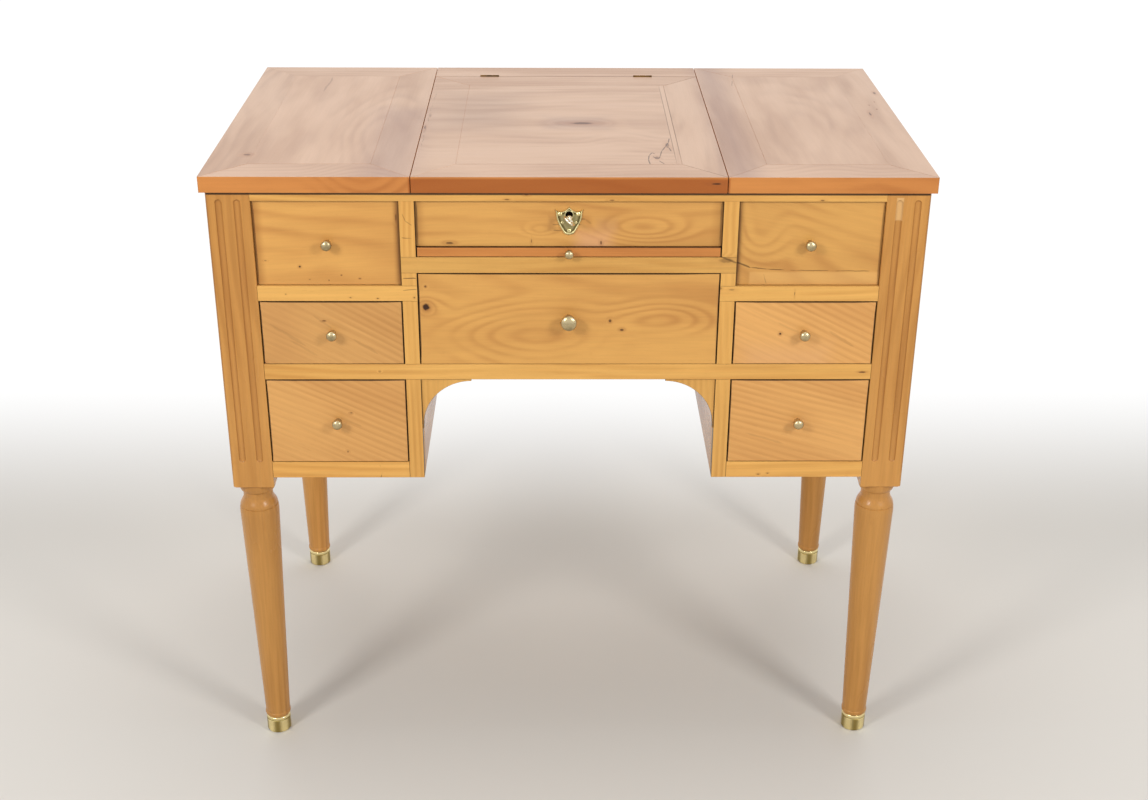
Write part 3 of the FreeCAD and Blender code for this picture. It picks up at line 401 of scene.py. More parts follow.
# %% Wood recipe
def wood(name, pale, deep, ring=0.006, warp=0.004, figure=0.5, line=1.6, least=0.1, fibre=0.05,
         shine=0.42, gaps=None, flute_shade=0.0, knots=(), cracks_and_shade=(), patches=(), swells=(), sheen_and_fading=None):
    """A waxed wood; marks are lists of places in mm, gaps is the share of painted gap shade kept on upward
    faces.
    """
    made, tree = new_finish(name)
    lift = ring_lift(tree, swells, knots, ring)
    grain = use(tree, grain_group, Ring=ring, Warp=warp, Swell=lift, Line=line, Least=least)
    cloud = ramp(grain["Cloud"], 0.36, 0.68, 0.0, 0.6)
    colour = paint(grain["Rings"], figure, tint(pale), tint(deep))
    colour = paint(cloud, figure + 0.2, colour, tint(deep))
    # The upper sides take paler, pinker colours by their facing: partly fading by the sun, partly painted
    # sheen.
    if sheen_and_fading:
        upper_pale, upper_deep, shades = sheen_and_fading
        normal = step(tree, "ShaderNodeTexCoord", out="Normal")
        facing = chain("ShaderNodeSeparateXYZ", normal, out="Z")
        upper_colour = paint(grain["Rings"], figure, tint(upper_pale), tint(upper_deep))
        upper_colour = paint(cloud, 0.9, upper_colour, tint(upper_deep))
        upper_colour = lay_patches(tree, upper_colour, shades)
        colour = blend(ramp(facing, 0.3, 0.9), colour, upper_colour)
    strand = ramp(grain["Fibre"], 0.25, 0.75, 1 - fibre, 1 + fibre)
    shade = sums("MULTIPLY", strand, sums("ADD", grain["Tone"], 1.0))
    colour = vectors("SCALE", colour, shade)
    colour = paint(grain["Pores"], 2.4 * fibre, colour, HALO_BROWN)
    # Painted shade on the rims of the flutes.
    if flute_shade:
        hollow = step(tree, "ShaderNodeAttribute", out="Fac", attribute_name="hollow")
        deep_in = ramp(hollow, 0.5, 1.0, 1.0, 0.25)
        rim = sums("MULTIPLY", ramp(hollow, 0.05, 0.4), deep_in)
        colour = paint(rim, flute_shade, colour, FLUTE_SHADE_BROWN)
    colour = lay_patches(tree, colour, patches)
    colour = lay_knots(tree, colour, knots)
    colour = lay_cracks_and_shade(tree, colour, cracks_and_shade)
    # Painted shade in the gaps round the fronts and on the walls of the rails.
    if gaps is not None:
        colour = paint(use(tree, gap_group, Upward=gaps)["Mask"], GAP_SHARE, colour, GAP_BROWN)
    rough = ramp(grain["Cloud"], 0.25, 0.75, shine - 0.06, shine + 0.08)
    height = sums("SUBTRACT", sums("MULTIPLY", grain["Fibre"], 0.4), grain["Pores"])
    bump = step(tree, "ShaderNodeBump", named={"Height": height, "Strength": 0.25, "Distance": 0.0003})
    dress(tree, {"Base Color": colour, "Roughness": rough, "Normal": bump, "Specular IOR Level": 0.25,
                 "Coat Weight": 0.14, "Coat Roughness": 0.24})
    return made


WOODS = {"inside": wood("inside_wood", "D9B47C", "BC935B", warp=0.003, figure=0.35, shine=0.6)}
print("first wood:", WOODS["inside"].name)

# %% [markdown]
# ## Marks on the broad fronts
# Places were read off the photo, in millimetres on each face, so a row holds flat pairs of numbers.
# An oval, for a knot or a swell, has its centre, its half sizes and its strength.
# A crack has its two ends, its width, its wander and its strength.
# A patch has two corners, its softness, its colour and its strength.
# `upright` adds the depth of a front to both pairs. Further down, `level` does it for the lids.

# %% Rows of marks on a face
FALSE_FACE, DRAWER_FACE, RAIL_FACE, LID_FACE, LID_TOP = -220.0, -223.0, -224.0, -228.0, 740.0
KNOT_REACH, SWELL_REACH = 8, 60
FRONT_SPAN, TOP_SPAN = (-240, -200), (700, 780)


def upright(rows, y, second_y):
    """Rows on an upright face: the two pairs of x and z get the depth of the first and of the second."""
    return [((x, y, z), (end_x, second_y, end_z), *rest) for x, z, end_x, end_z, *rest in rows]


def box_mm(node):
    """Low and high corner of a frame piece, in millimetres."""
    return [np.array(corner) * 1000 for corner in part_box(node)]


def edge_lines(node, y, wide, left, right):
    """Painted shade: dark lines inside the top edge and both ends of a front, that widen the shadows of the
    gaps round it.
    """
    low, high = box_mm(node)
    top = high[2] - 0.4
    rows = [(low[0], top, high[0], top, 0.9, 0.6, 0.7)]
    for x, strength in ((low[0] + wide / 2, left), (high[0] - wide / 2, right)):
        rows.append((x, low[2], x, high[2], wide, 0.8, strength))
    return upright(rows, y, y)


print("edge lines of one front:", len(edge_lines("centre_drawer_front", DRAWER_FACE, 0.9, 0.75, 0.4)))

# %% Broad fronts
FRONT_KNOTS = upright([
    (-158, 588.5, 4.6, 4.6, 1.0), (-158, 613, 1.4, 1.4, 0.7), (46, 572, 1.7, 2, 0.75),
    (59.3, 561, 2.6, 1.6, 0.8),
], DRAWER_FACE, KNOT_REACH) + upright([
    (-130, 662.5, 5, 1.6, 0.7), (-41, 665, 0.8, 2.5, 0.5), (35, 663, 1.4, 2.6, 0.65),
    (-295, 635, 1.2, 1.2, 1.0), (-250, 625, 0.9, 0.8, 0.7), (-230, 621, 1.1, 0.7, 0.7),
    (-264, 619, 0.7, 0.9, 0.7), (-285, 620, 0.8, 0.6, 0.6), (-332, 642, 1.6, 0.7, 0.4),
    (-187.5, 692, 1, 5, 0.5),
], FALSE_FACE, KNOT_REACH)
FRONT_SWELLS = upright([
    (-39, 556, 150, 50, 46), (103, 574, 80, 30, 30), (-158, 588, 36, 22, 14),
], DRAWER_FACE, SWELL_REACH) + upright([
    (-32, 678, 26, 11, 15), (78, 679, 72, 22, 25), (208, 672, 40, 46, 20),
], FALSE_FACE, SWELL_REACH)
FRONT_CRACKS_AND_SHADE = upright([
    (184, 641, 200, 634, 1.0, 3, 0.65), (198, 634.5, 240, 631, 0.7, 3, 0.6),
    (240, 631, 343, 630, 0.6, 4, 0.5), (214, 629, 218, 615, 0.5, 4, 0.5),
    (-17.9, 683.5, -10.8, 683.9, 0.7, 2, 0.35), (-17.1, 677.4, -7.1, 677.1, 0.6, 2, 0.45),
    (9.3, 684, 12, 684.2, 0.9, 2, 0.6), (12.4, 690.3, 17.3, 690.3, 1.2, 2, 0.35),
    (17.3, 690.3, 24, 684.9, 1.2, 3, 0.2),
], FALSE_FACE, FALSE_FACE)
# The edge lines of the fronts are painted shade of the gaps round them.
for word in ("left", "centre", "right"):
    FRONT_CRACKS_AND_SHADE += edge_lines("false_front_" + word, FALSE_FACE, 1.8, 0.5, 0.4)
FRONT_CRACKS_AND_SHADE += edge_lines("centre_drawer_front", DRAWER_FACE, 0.9, 0.75, 0.4)
# The first five patches are painted shade at the ends of the false fronts, set back in their recesses.
FRONT_PATCHES = upright([
    (-350, 600, -336, 730, 6, "9A6229", 0.55), (-189, 600, -178, 730, 4, "8A5422", 0.65),
    (178, 600, 188, 730, 4, "8A5422", 0.6), (-172, 645, -160, 730, 6, "9A6229", 0.4),
    (158, 645, 172, 730, 6, "9A6229", 0.3), (199, 600, 350, 629, 1.5, "E3AF68", 0.5),
    (-350, 600, -180, 616, 4, "EDBC76", 0.3), (8, 645, 45, 676, 12, "DBA27A", 0.55),
    (30, 676, 52, 690, 6, "B98658", 0.4), (-22, 678, -15, 694, 3, "8A5A34", 0.3),
], *FRONT_SPAN)
WOODS["fronts"] = wood("honey_fronts", "E2A85A", "B5763A", ring=0.0085, warp=0.004, figure=0.36, line=2.4,
                       fibre=0.03, gaps=1.0, knots=FRONT_KNOTS, swells=FRONT_SWELLS, cracks_and_shade=FRONT_CRACKS_AND_SHADE,
                       patches=FRONT_PATCHES)
print("marks on the broad fronts:", len(FRONT_KNOTS + FRONT_SWELLS + FRONT_CRACKS_AND_SHADE + FRONT_PATCHES))

# %% [markdown]
# ## Marks on the narrow drawers, rails and posts
# The four narrow drawers have faint slanting streaks. The rails have nail holes and small cracks.
# Right under the lids a painted shadow of their overhang runs as a dark line along the top rail and the
# posts.
# The right post has a small pale patch, where a piece was let in.

# %% Narrow drawers and slide
STRIPE_KNOTS = upright([
    (-272, 572, 2.4, 1, 0.65), (-248, 458, 1.6, 1.1, 0.5), (-254.5, 408, 1.3, 1.5, 0.45),
    (237, 556.4, 1.4, 1.4, 1.0), (-343, 521, 3, 2, 0.9),
], DRAWER_FACE, KNOT_REACH)
STRIPE_PATCHES = upright([
    (-345, 515, -300, 600, 26, "B98049", 0.35), (200, 515, 290, 540, 20, "DDA878", 0.4),
], *FRONT_SPAN)
STRIPE_CRACKS_AND_SHADE = upright([
    (-283, 578, -262, 562, 1.2, 3, 0.12), (-332, 568, -296, 543, 1.8, 6, 0.12),
    (-310, 548, -282, 530, 1.6, 6, 0.1), (-240, 549, -214, 532, 1.6, 5, 0.12),
    (-262, 452, -236, 440, 1.6, 5, 0.12), (230, 572, 268, 553, 1.4, 5, 0.1),
    (290, 560, 322, 541, 1.6, 5, 0.12), (205, 432, 250, 418, 1.6, 5, 0.12),
], DRAWER_FACE, DRAWER_FACE)
# The edge lines of the narrow drawers are painted shade of the gaps round them.
for word in ("middle", "lower"):
    STRIPE_CRACKS_AND_SHADE += edge_lines(word + "_drawer_left_front", DRAWER_FACE, 0.9, 0.75, 0.1)
    STRIPE_CRACKS_AND_SHADE += edge_lines(word + "_drawer_right_front", DRAWER_FACE, 0.9, 0.6, 0.7)
WOODS["stripes"] = wood("striped_fronts", "E2A862", "B5763A", ring=0.007, warp=0.006, figure=0.24,
                        least=0.4, fibre=0.04, gaps=1.0, knots=STRIPE_KNOTS, patches=STRIPE_PATCHES,
                        cracks_and_shade=STRIPE_CRACKS_AND_SHADE)
WOODS["slide"] = wood("slide_edge", "CC8543", "A8642C", ring=0.005, figure=0.35, gaps=1.0)
print("marks on the narrow drawers:", len(STRIPE_KNOTS + STRIPE_CRACKS_AND_SHADE + STRIPE_PATCHES))

# %% Rails and posts
RAIL_KNOTS = upright([
    (333, 509.3, 4.5, 1.1, 0.8), (222, 378, 1.6, 0.9, 0.6), (233, 379.3, 1.2, 0.8, 0.6),
    (250, 605, 0.6, 2.6, 0.5), (-67, 713.6, 3, 0.9, 0.6), (46, 713, 3, 0.8, 0.6),
    (-46, 719, 2.5, 1, 0.7), (273, 713, 2.5, 0.9, 0.6), (-211, 599, 1.2, 0.8, 0.7),
    (-241, 600, 1.3, 0.7, 0.6), (-170.6, 600, 1, 1, 0.7), (180, 609.5, 4, 1, 0.4),
    (167.7, 611, 1.6, 1.4, 0.45), (-312, 604, 0.8, 0.7, 0.5), (-213, 510, 1.4, 1.1, 0.3),
    (172, 644, 9, 3.4, 0.4),
], RAIL_FACE, KNOT_REACH)
RAIL_CRACKS = upright([
    (-219, 391.5, -216, 384, 0.5, 4, 0.6), (-216, 384, -218, 373, 0.5, 4, 0.6),
    (-183, 670.5, -167, 669.5, 0.6, 4, 0.55), (-184, 623.5, -167, 623, 0.7, 4, 0.7),
    (-183, 608.5, -167, 609.5, 0.5, 4, 0.5), (166, 648.5, 184.5, 641, 1.2, 2, 0.5),
    (-181, 697, -177, 688, 0.5, 5, 0.4), (-177, 688, -169, 684, 0.5, 5, 0.35),
], RAIL_FACE, RAIL_FACE)
# Painted shadow of the lids' overhang, on the top rail and the posts.
SHADOW_LINE = ((-400, -240, 718.5), (400, -223, 725), 0.7, "24140A", 0.88)
LET_IN_PIECE = ((353.5, -240, 690), (361, -215, 716), 0.8, "F0C88C", 0.45)
WOODS["rails"] = wood("rail_wood", "E8B05E", "C08038", ring=0.006, warp=0.002, figure=0.32, gaps=0.3,
                      knots=RAIL_KNOTS, cracks_and_shade=RAIL_CRACKS, patches=[SHADOW_LINE])
WOODS["posts"] = wood("post_wood", "CE934C", "A86E30", ring=0.008, warp=0.004, figure=0.3, shine=0.25,
                      flute_shade=0.4, patches=[SHADOW_LINE, LET_IN_PIECE])
print("marks on the rails:", len(RAIL_KNOTS + RAIL_CRACKS))

# %% [markdown]
# ## Marks on the lids
# The lids have one large dark knot, a curled crack round a smaller one, and fine lines where bands meet.
# The edges of the panels come from the frame, so the lines lie on the real joints.
# Broad soft shades make the paler upper sides uneven: darker beside the joints of the three lids.

# %% Knots and swells of the lids
def level(rows, z, second_z):
    """Rows on the lids: the two pairs of x and y get the height of the first and of the second."""
    return [((x, y, z), (end_x, end_y, second_z), *rest) for x, y, end_x, end_y, *rest in rows]


LID_KNOTS = level([
    (17, -22, 15, 5, 0.7), (-356, -149, 4.5, 4, 0.55), (388.6, 117, 2, 6, 0.7),
    (366, 20, 1.4, 8, 0.7), (378, 42, 1, 2, 0.7), (372, 60, 0.8, 2, 0.6), (381, 75, 0.8, 2, 0.6),
    (-167, -40, 1.6, 8, 0.6), (-164, 10, 1.2, 7, 0.4), (97.5, -158, 2.6, 5, 0.6),
    (112, -110, 2.6, 9, 0.5),
], LID_TOP, KNOT_REACH) + upright([(157.8, 732.6, 6, 1.2, 0.85)], LID_FACE, KNOT_REACH)
LID_SWELLS = level([
    (-225, -90, 70, 330, 40), (280, -40, 70, 260, 36), (17, -22, 70, 46, 22), (60, -90, 50, 60, 16),
], LID_TOP, SWELL_REACH)
print("ovals on the lids:", len(LID_KNOTS + LID_SWELLS))

# %% Cracks and joints of the lids
CURL = [
    [(88.6, -182), (87.8, -164), (89.3, -149.6), (92.9, -139.5), (96, -144)],
    [(93.5, -153), (96.3, -162), (99.2, -162), (101.5, -152.4), (104.5, -132.2), (109.8, -115.7),
     (114, -99.6), (116, -84)],
    [(109.8, -115.7), (113.3, -120.4), (115, -134)],
    [(99.3, -169.4), (104.6, -181)],
]
strokes = [(*a, *b, 0.7, 1.5, 0.75) for curl in CURL for a, b in zip(curl, curl[1:])]
LID_CRACKS = level(strokes, LID_TOP, LID_TOP)
LID_CRACKS += level([
    (219, 214, 211.6, 147, 0.5, 4, 0.6), (-302.6, 189, -306, 120, 1.4, 4, 0.25),
    (-163, 150, -167, -170, 0.5, 9, 0.35),
], LID_TOP, LID_TOP)
BAND_X, BACK_Y = 124, 197
(left_low, left_high), (mid_low, mid_high), (right_low, right_high) = (
    np.round(box_mm("lid_%s_panel" % word), 1)[:, :2] for word in ("left", "centre", "right"))
JOINTS = [
    (*mid_low, BAND_X, mid_low[1], 0.45),
    (mid_low[0], mid_high[1], BAND_X, mid_high[1], 0.3),
    (mid_high[0], mid_low[1], *mid_high, 0.5),
    (BAND_X, mid_low[1], BAND_X, mid_high[1], 0.55),
    (BAND_X, mid_low[1], 170, LID_FACE, 0.5),
    (BAND_X, mid_high[1], 170, BACK_Y, 0.45),
    (-170, BACK_Y, 170, BACK_Y, 0.8),
    (*left_low, left_high[0], left_low[1], 0.2),
    (left_low[0], left_high[1], *left_high, 0.2),
    (*right_low, right_high[0], right_low[1], 0.3),
    (*right_low, 172, LID_FACE, 0.35),
    (right_high[0], right_low[1], 396, LID_FACE, 0.25),
    (right_low[0], right_high[1], *right_high, 0.2),
]
LID_CRACKS += level([(*ends, 0.45, 0.5, strength) for *ends, strength in JOINTS], LID_TOP, LID_TOP)
print("lines on the lids:", len(LID_CRACKS))

# %% Shades of the lids
TOP_SHADES = level([
    (-224, -240, -168, 40, 26, "8E6E64", 0.42), (168, -240, 204, 250, 20, "86665C", 0.5),
    (-150, -40, -60, 110, 40, "977C6C", 0.35), (-20, -40, 40, 0, 22, "746162", 0.3),
], *TOP_SPAN)
FRONT_EDGE = ((-172, -240, 715), (172, -226, 738), 1.5, "9C501A", 0.8)
WOODS["lids"] = wood("lid_wood", "CB8443", "A15C27", ring=0.010, warp=0.005, figure=0.34, line=2.0,
                     fibre=0.025, shine=0.36, sheen_and_fading=("C19E83", "A3816B", TOP_SHADES), knots=LID_KNOTS,
                     cracks_and_shade=LID_CRACKS, swells=LID_SWELLS, patches=[FRONT_EDGE])
print("woods:", sorted(WOODS))

# %% [markdown]
# ## Boards with softened edges
# A joiner takes the sharp corner off every board, and two centuries of hands round it more.
# Each board of the frame is copied, its loose triangles are welded into one skin, and flats are cleaned.
# Boards that touch share places, so each closed skin gets a number first and is welded by itself.

# %% Copy the boards of the frame
def read_out(items, label, width=3, kind=np.float32):
    """One value of all vertices, corners or faces of a mesh at once, in rows of the given width."""
    values = np.empty(len(items) * width, kind)
    items.foreach_get(label, values)
    return values.reshape(-1, width)


def triangles(node):
    """Corner places of a frame piece's triangles, as one array of shape (count, 3, 3)."""
    mesh = nodes[node].data
    corners = read_out(mesh.loops, "vertex_index", 1, np.int32).ravel()
    return read_out(mesh.vertices, "co")[corners].reshape(-1, 3, 3)


def skin(name, places, faces):
    """A mesh object from arrays of places and faces, unturned at the origin."""
    mesh = bpy.data.meshes.new(name)
    mesh.from_pydata(places, [], faces)
    piece = bpy.data.objects.new(name, mesh)
    bpy.context.scene.collection.objects.link(piece)
    return piece


print("triangles of the top rail:", len(triangles("top_rail")))

# %% Weld closed skins
DIGITS, FLAT_TURN = 6, math.radians(0.5)


def skin_numbers(faces):
    """Number the closed skins in a run of triangles: one ends where each edge has met its reverse."""
    edges = faces[:, [0, 1, 1, 2, 2, 0]].reshape(-1, 2)
    owner = np.repeat(np.arange(len(faces)), 3)
    sign = np.where(edges[:, 0] < edges[:, 1], 1, -1)
    order = np.lexsort((owner, edges.max(axis=1), edges.min(axis=1)))
    after = np.cumsum(sign[order])
    before = after - sign[order]
    change = np.zeros(len(faces), int)
    np.add.at(change, owner[order], (before == 0).astype(int) - (after == 0).astype(int))
    closed = np.cumsum(change) == 0
    return np.cumsum(closed) - closed


def welded(name, corners):
    """Closed skins from loose triangles: equal corners of one board are joined, flat areas are one face."""
    spots = np.round(corners.reshape(-1, 3), DIGITS)
    faces = np.unique(spots, axis=0, return_inverse=True)[1].reshape(-1, 3)
    whole = (faces[:, 0] != faces[:, 1]) & (faces[:, 1] != faces[:, 2]) & (faces[:, 0] != faces[:, 2])
    boards = np.repeat(skin_numbers(faces[whole]), 3)
    labelled = np.column_stack([boards, spots[np.repeat(whole, 3)]])
    keys, where = np.unique(labelled, axis=0, return_inverse=True)
    piece = skin(name, keys[:, 1:].tolist(), where.reshape(-1, 3).tolist())
    work = bmesh.new()
    work.from_mesh(piece.data)
    bmesh.ops.dissolve_limit(work, angle_limit=FLAT_TURN, verts=work.verts, edges=work.edges)
    work.to_mesh(piece.data)
    work.free()
    return piece


print("corners are joined when they agree to", DIGITS, "digits of a metre")

# %% [markdown]
# A small rounded bevel softens the edges of a board, and its faces learn which tree they came from.
# Then the board takes the place of its frame piece: same body to ride on, and the finish chosen for it.

# %% Soften, plant and settle
def smooth(piece, turn):
    """Shade a piece smoothly, but keep edges sharp where its faces turn by more than this angle."""
    piece.data.shade_smooth()
    piece.data.set_sharp_from_angle(angle=math.radians(turn))


def soften(piece, ease, turn=35):
    """Round the edges of a skin with a bevel and smooth its round faces."""
    smooth(piece, turn)
    bevel = piece.modifiers.new("soft_edges", "BEVEL")
    bevel.width = ease / 1000
    bevel.segments = 3
    bevel.limit_method = "ANGLE"
    bevel.angle_limit = math.radians(turn)
    bevel.harden_normals = True
    return piece


def write_on(piece, label, values, where="POINT"):
    """Keep one number for each point or face of a piece."""
    layer = piece.data.attributes.new(label, "FLOAT", where)
    layer.data.foreach_set("value", np.array(values, np.float32))


def plant(piece, axis, heart, tone):
    """Write which tree the board came from: its heart line's run, a point on it, and the board's tone."""
    count = len(piece.data.polygons)
    axis = np.array(axis, float) / np.linalg.norm(axis)
    for label, value in (("tree_axis", axis), ("tree_heart", metres(heart))):
        layer = piece.data.attributes.new(label, "FLOAT_VECTOR", "FACE")
        layer.data.foreach_set("vector", np.tile(value.astype(np.float32), count))
    write_on(piece, "board_tone", np.broadcast_to(tone, count), "FACE")
    return piece


def settle(piece, node, finish):
    """Let the piece stand for its frame node: hide the node, move with the same body and take the given
    finish.
    """
    piece.data.materials.clear()
    piece.data.materials.append(finish)
    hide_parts(node)
    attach(piece, nodes[node]["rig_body"])


slots = {row["node"]: row["material_slot"] for row in frame["record"]["subparts"]}
print("slots known for", len(slots), "pieces")

# %% [markdown]
# ## Choosing the boards
# Fronts and rails run from side to side, stiles and posts run up, and the side lids run front to back.
# The narrow drawers were cut on the skew, so their rings cross the front as slanting stripes.
# A heart line close behind a face gives arches; one far off gives straight lines.
# A row names the wood, the bevel in millimetres, the heart line's run, a point on it and the tone.

# %% Trees
HEART_AWAY = 260


def slanted(angle, x, z):
    """Heart line of a board whose stripes fall to the right by this angle, far above its face."""
    turn = math.radians(angle)
    axis = (math.cos(turn), 0.02, -math.sin(turn))
    return axis, (x + HEART_AWAY * math.sin(turn), -150, z + HEART_AWAY * math.cos(turn))


ACROSS, UPWARD, INWARD = (1, 0, 0.012), (0.01, 0, 1), (0.015, 1, 0.01)
SIDE_DRAWERS = ["middle_drawer_left", "lower_drawer_left", "middle_drawer_right", "lower_drawer_right"]
LID_TREES = {
    "left": ((0.03, 1, 0.03), (-268, -40, 560)),
    "right": ((-0.04, 1, 0.03), (292, 20, 560)),
    "centre": ((1, 0.03, 0.03), (0, -10, 600)),
}
print("heart line of a slanted board passes", np.round(slanted(30, -264, 557)[1], 1).tolist(), "mm")

# %% Lay the boards
BOARDS = {
    "false_front_left": ("fronts", 0.9, (1, 0.02, 0.05), (-264, 60, 560), -0.03),
    "false_front_right": ("fronts", 0.9, (1, 0.06, -0.2), (264, 20, 560), -0.12),
    "false_front_centre": ("fronts", 0.9, (1, 0.04, 0.02), (0, -60, 600), -0.08),
    "centre_drawer_front": ("fronts", 1.5, (1, 0.04, 0.0), (0, 40, 600), -0.07),
    "middle_drawer_left_front": ("stripes", 1.5, *slanted(30, -264, 557), -0.14),
    "lower_drawer_left_front": ("stripes", 1.5, *slanted(26, -264, 447), -0.06),
    "middle_drawer_right_front": ("stripes", 1.5, *slanted(27, 264, 557), 0.0),
    "lower_drawer_right_front": ("stripes", 1.5, *slanted(17, 264, 447), 0.0),
    "slide_board": ("slide", 0.8, ACROSS, (0, 60, 560), 0.0),
    "top_rail": ("rails", 0.5, ACROSS, (0, -90, 640), -0.08),
    "middle_rail": ("rails", 0.5, ACROSS, (0, -120, 450), -0.03),
    "centre_rail": ("rails", 0.5, ACROSS, (0, -110, 700), -0.16),
    "side_rails": ("rails", 0.5, ACROSS, (0, -130, 680), -0.03),
    "bottom_rails": ("rails", 0.5, ACROSS, (0, -130, 330), 0.05),
    "upper_stiles": ("rails", 0.5, UPWARD, (60, -130, 600), -0.04),
    "lower_stiles": ("rails", 0.5, UPWARD, (40, -140, 500), -0.06),
    "kneehole_brackets": ("rails", 0.7, UPWARD, (30, -150, 450), -0.1),
    "side_panel_left": ("posts", 0.8, INWARD, (-330, 0, 520), 0.04),
    "side_panel_right": ("posts", 0.8, INWARD, (330, 0, 500), 0.04),
    # The partitions get a low tone as painted shade: they face into the kneehole, where little light falls.
    "partition_left": ("posts", 0.6, INWARD, (-120, 0, 560), -0.2),
    "partition_right": ("posts", 0.6, INWARD, (120, 0, 560), -0.2),
    "rear_top_strip": ("lids", 0.8, ACROSS, (0, 150, 690), 0.02),
    "lid_left_panel": ("lids", 0.15, *LID_TREES["left"], 0.04),
    "lid_right_panel": ("lids", 0.15, *LID_TREES["right"], 0.0),
    "lid_centre_panel": ("lids", 0.15, *LID_TREES["centre"], 0.01),
    "back_panels": ("inside", 0.6, ACROSS, (0, 150, 500), 0.0),
    "well_floors": ("inside", 0.5, ACROSS, (0, 0, 540), 0.0),
    "drawer_shelves": ("inside", 0.5, ACROSS, (0, 0, 400), -0.05),
    "guides_and_runners": ("inside", 0.5, INWARD, (0, 0, 420), -0.05),
    "mirror_beads": ("lids", 0.5, ACROSS, (0, 0, 650), 0.0),
}
for drawer in SIDE_DRAWERS + ["centre_drawer"]:
    BOARDS[drawer + "_box"] = ("inside", 0.5, INWARD, (0, 0, 380), 0.0)
for node, (finish, ease, axis, heart, tone) in BOARDS.items():
    piece = plant(welded(node + "_wood", triangles(node)), axis, heart, tone)
    settle(soften(piece, ease), node, WOODS[finish])
print("boards laid:", len(BOARDS))

# %% [markdown]
# ## Lid bands
# Each lid is a flush panel in a frame of four bands that meet at mitred corners.
# The grain of every band follows its own length, so the bands become pieces of their own.
# A spot inside the wood belongs to the band whose outer edge is nearest.
# Where the photo shows no change of grain at a joint, the band takes the same tree as its panel.

# %% Part the lid frames at their mitres
BAND, UNDER = 0.046, 0.0004
BANDS = {
    "front": (ACROSS, (0, -60, -70), 0.03, 0.4),
    "back": (ACROSS, (0, 80, -60), 0.02, 0.4),
    "left": (INWARD, (-70, 0, -60), 0.0, 0.4),
    "right": (INWARD, (60, 0, -70), -0.01, 0.4),
    "fillet": (INWARD, (40, 0, -50), 0.0, 0.2),
}
ALIKE = {"left": ("left", "right"), "centre": ("left",), "right": ("left", "right")}


def inner_spots(corners):
    """Spots just under each triangle, inside the wood it belongs to."""
    normals = np.cross(corners[:, 1] - corners[:, 0], corners[:, 2] - corners[:, 0])
    normals /= np.maximum(np.linalg.norm(normals, axis=1, keepdims=True), 1e-12)
    return corners.mean(axis=1) - normals * UNDER


def nearest_band(spots, low, high):
    """0 front, 1 back, 2 left, 3 right; 4 for a strip that lies inside the bands."""
    gaps = np.stack([spots[:, 1] - low[1], high[1] - spots[:, 1], spots[:, 0] - low[0],
                     high[0] - spots[:, 0]])
    return np.where(gaps.min(axis=0) > BAND, 4, gaps.argmin(axis=0))


band_count = 0
for word, alike in ALIKE.items():
    node = "lid_%s_frame" % word
    corners = triangles(node)
    low, high = (np.array(v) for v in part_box(node))
    which = nearest_band(inner_spots(corners), low, high)
    for number, (label, (axis, shift, tone, ease)) in enumerate(BANDS.items()):
        chosen = corners[which == number]
        if len(chosen):
            heart = (low + high) * 500 + shift
            if label in alike:
                axis, heart = LID_TREES[word]
            piece = plant(welded("%s_%s" % (node, label), chosen), axis, heart, tone)
            settle(soften(piece, ease), node, WOODS["lids"])
            band_count += 1
print("lid bands:", band_count)

# %% [markdown]
# ## Surfaces from rings
# Turned and swept pieces are grids of places: rings one above the other, closed at both ends.
# A lathe makes such rings from a profile, so most round pieces below are a profile and a centre.

# %% Make surfaces from grids
TURN_STEPS = 72


def grid_faces(rows, columns):
    """Quads of a grid whose columns close into a ring."""
    start = np.arange(rows - 1)[:, None] * columns + np.arange(columns)[None, :]
    after = np.arange(rows - 1)[:, None] * columns + (np.arange(columns)[None, :] + 1) % columns
    return np.stack([start, after, after + columns, start + columns], axis=-1).reshape(-1, 4)


def ringed(rings):
    """A closed surface through rings of shape (rows, columns, 3), capped at both ends: places and faces."""
    rows, columns = rings.shape[:2]
    faces = grid_faces(rows, columns).tolist()
    faces.append(np.arange(columns)[::-1].tolist())
    faces.append((np.arange(columns) + (rows - 1) * columns).tolist())
    return rings.reshape(-1, 3), faces


def joined(name, surfaces):
    """One object from several closed surfaces."""
    places, faces, shift = [], [], 0
    for spots, parts in surfaces:
        places.append(spots)
        faces += [[index + shift for index in part] for part in parts]
        shift += len(spots)
    return skin(name, metres(np.concatenate(places)).tolist(), faces)


def revolved(profile, centre, along=(0, 0, 1), steps=TURN_STEPS):
    """A turned surface: each (radius, height) of the profile becomes a ring about the line along."""
    profile = np.array(profile, float)
    along, out = np.array(along, float), np.array((1, 0, 0), float)
    turn = np.arange(steps) * 2 * np.pi / steps
    circle = np.cos(turn)[:, None] * out + np.sin(turn)[:, None] * np.cross(along, out)
    radius, height = profile.T[:, :, None, None]
    return ringed(np.array(centre, float) + radius * circle + height * along)


print("faces of a plain drum:", len(revolved([(1, 0), (1, 1)], (0, 0, 0))[1]))

# %% [markdown]
# ## Fluted posts and turned legs
# Each corner post is one stick of wood: square above, with two stopped flutes on each show face,
# and turned below into a collar, a slim neck, a round shoulder and a long taper.
# The square part is a rounded square swept upwards. Flutes push its wall inwards.
# The depth of a flute depends on the distance to its centre line, so its ends come out round.

# %% Square part with its flutes
POST_X, POST_FRONT, POST_REAR = 367, -200, 202
POST_LOW, POST_TOP = 360.6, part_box("post_front_left")[1][2] * 1000
POST_HALF, ARRIS, WORN_ARRIS = 24.0, 4.0, 0.8
FLUTE_HALF, FLUTE_DEPTH, FLUTE_STEP = 3.8, 2.0, 10.0
FLUTE_LOW, FLUTE_HIGH = 394.2, POST_TOP - 8


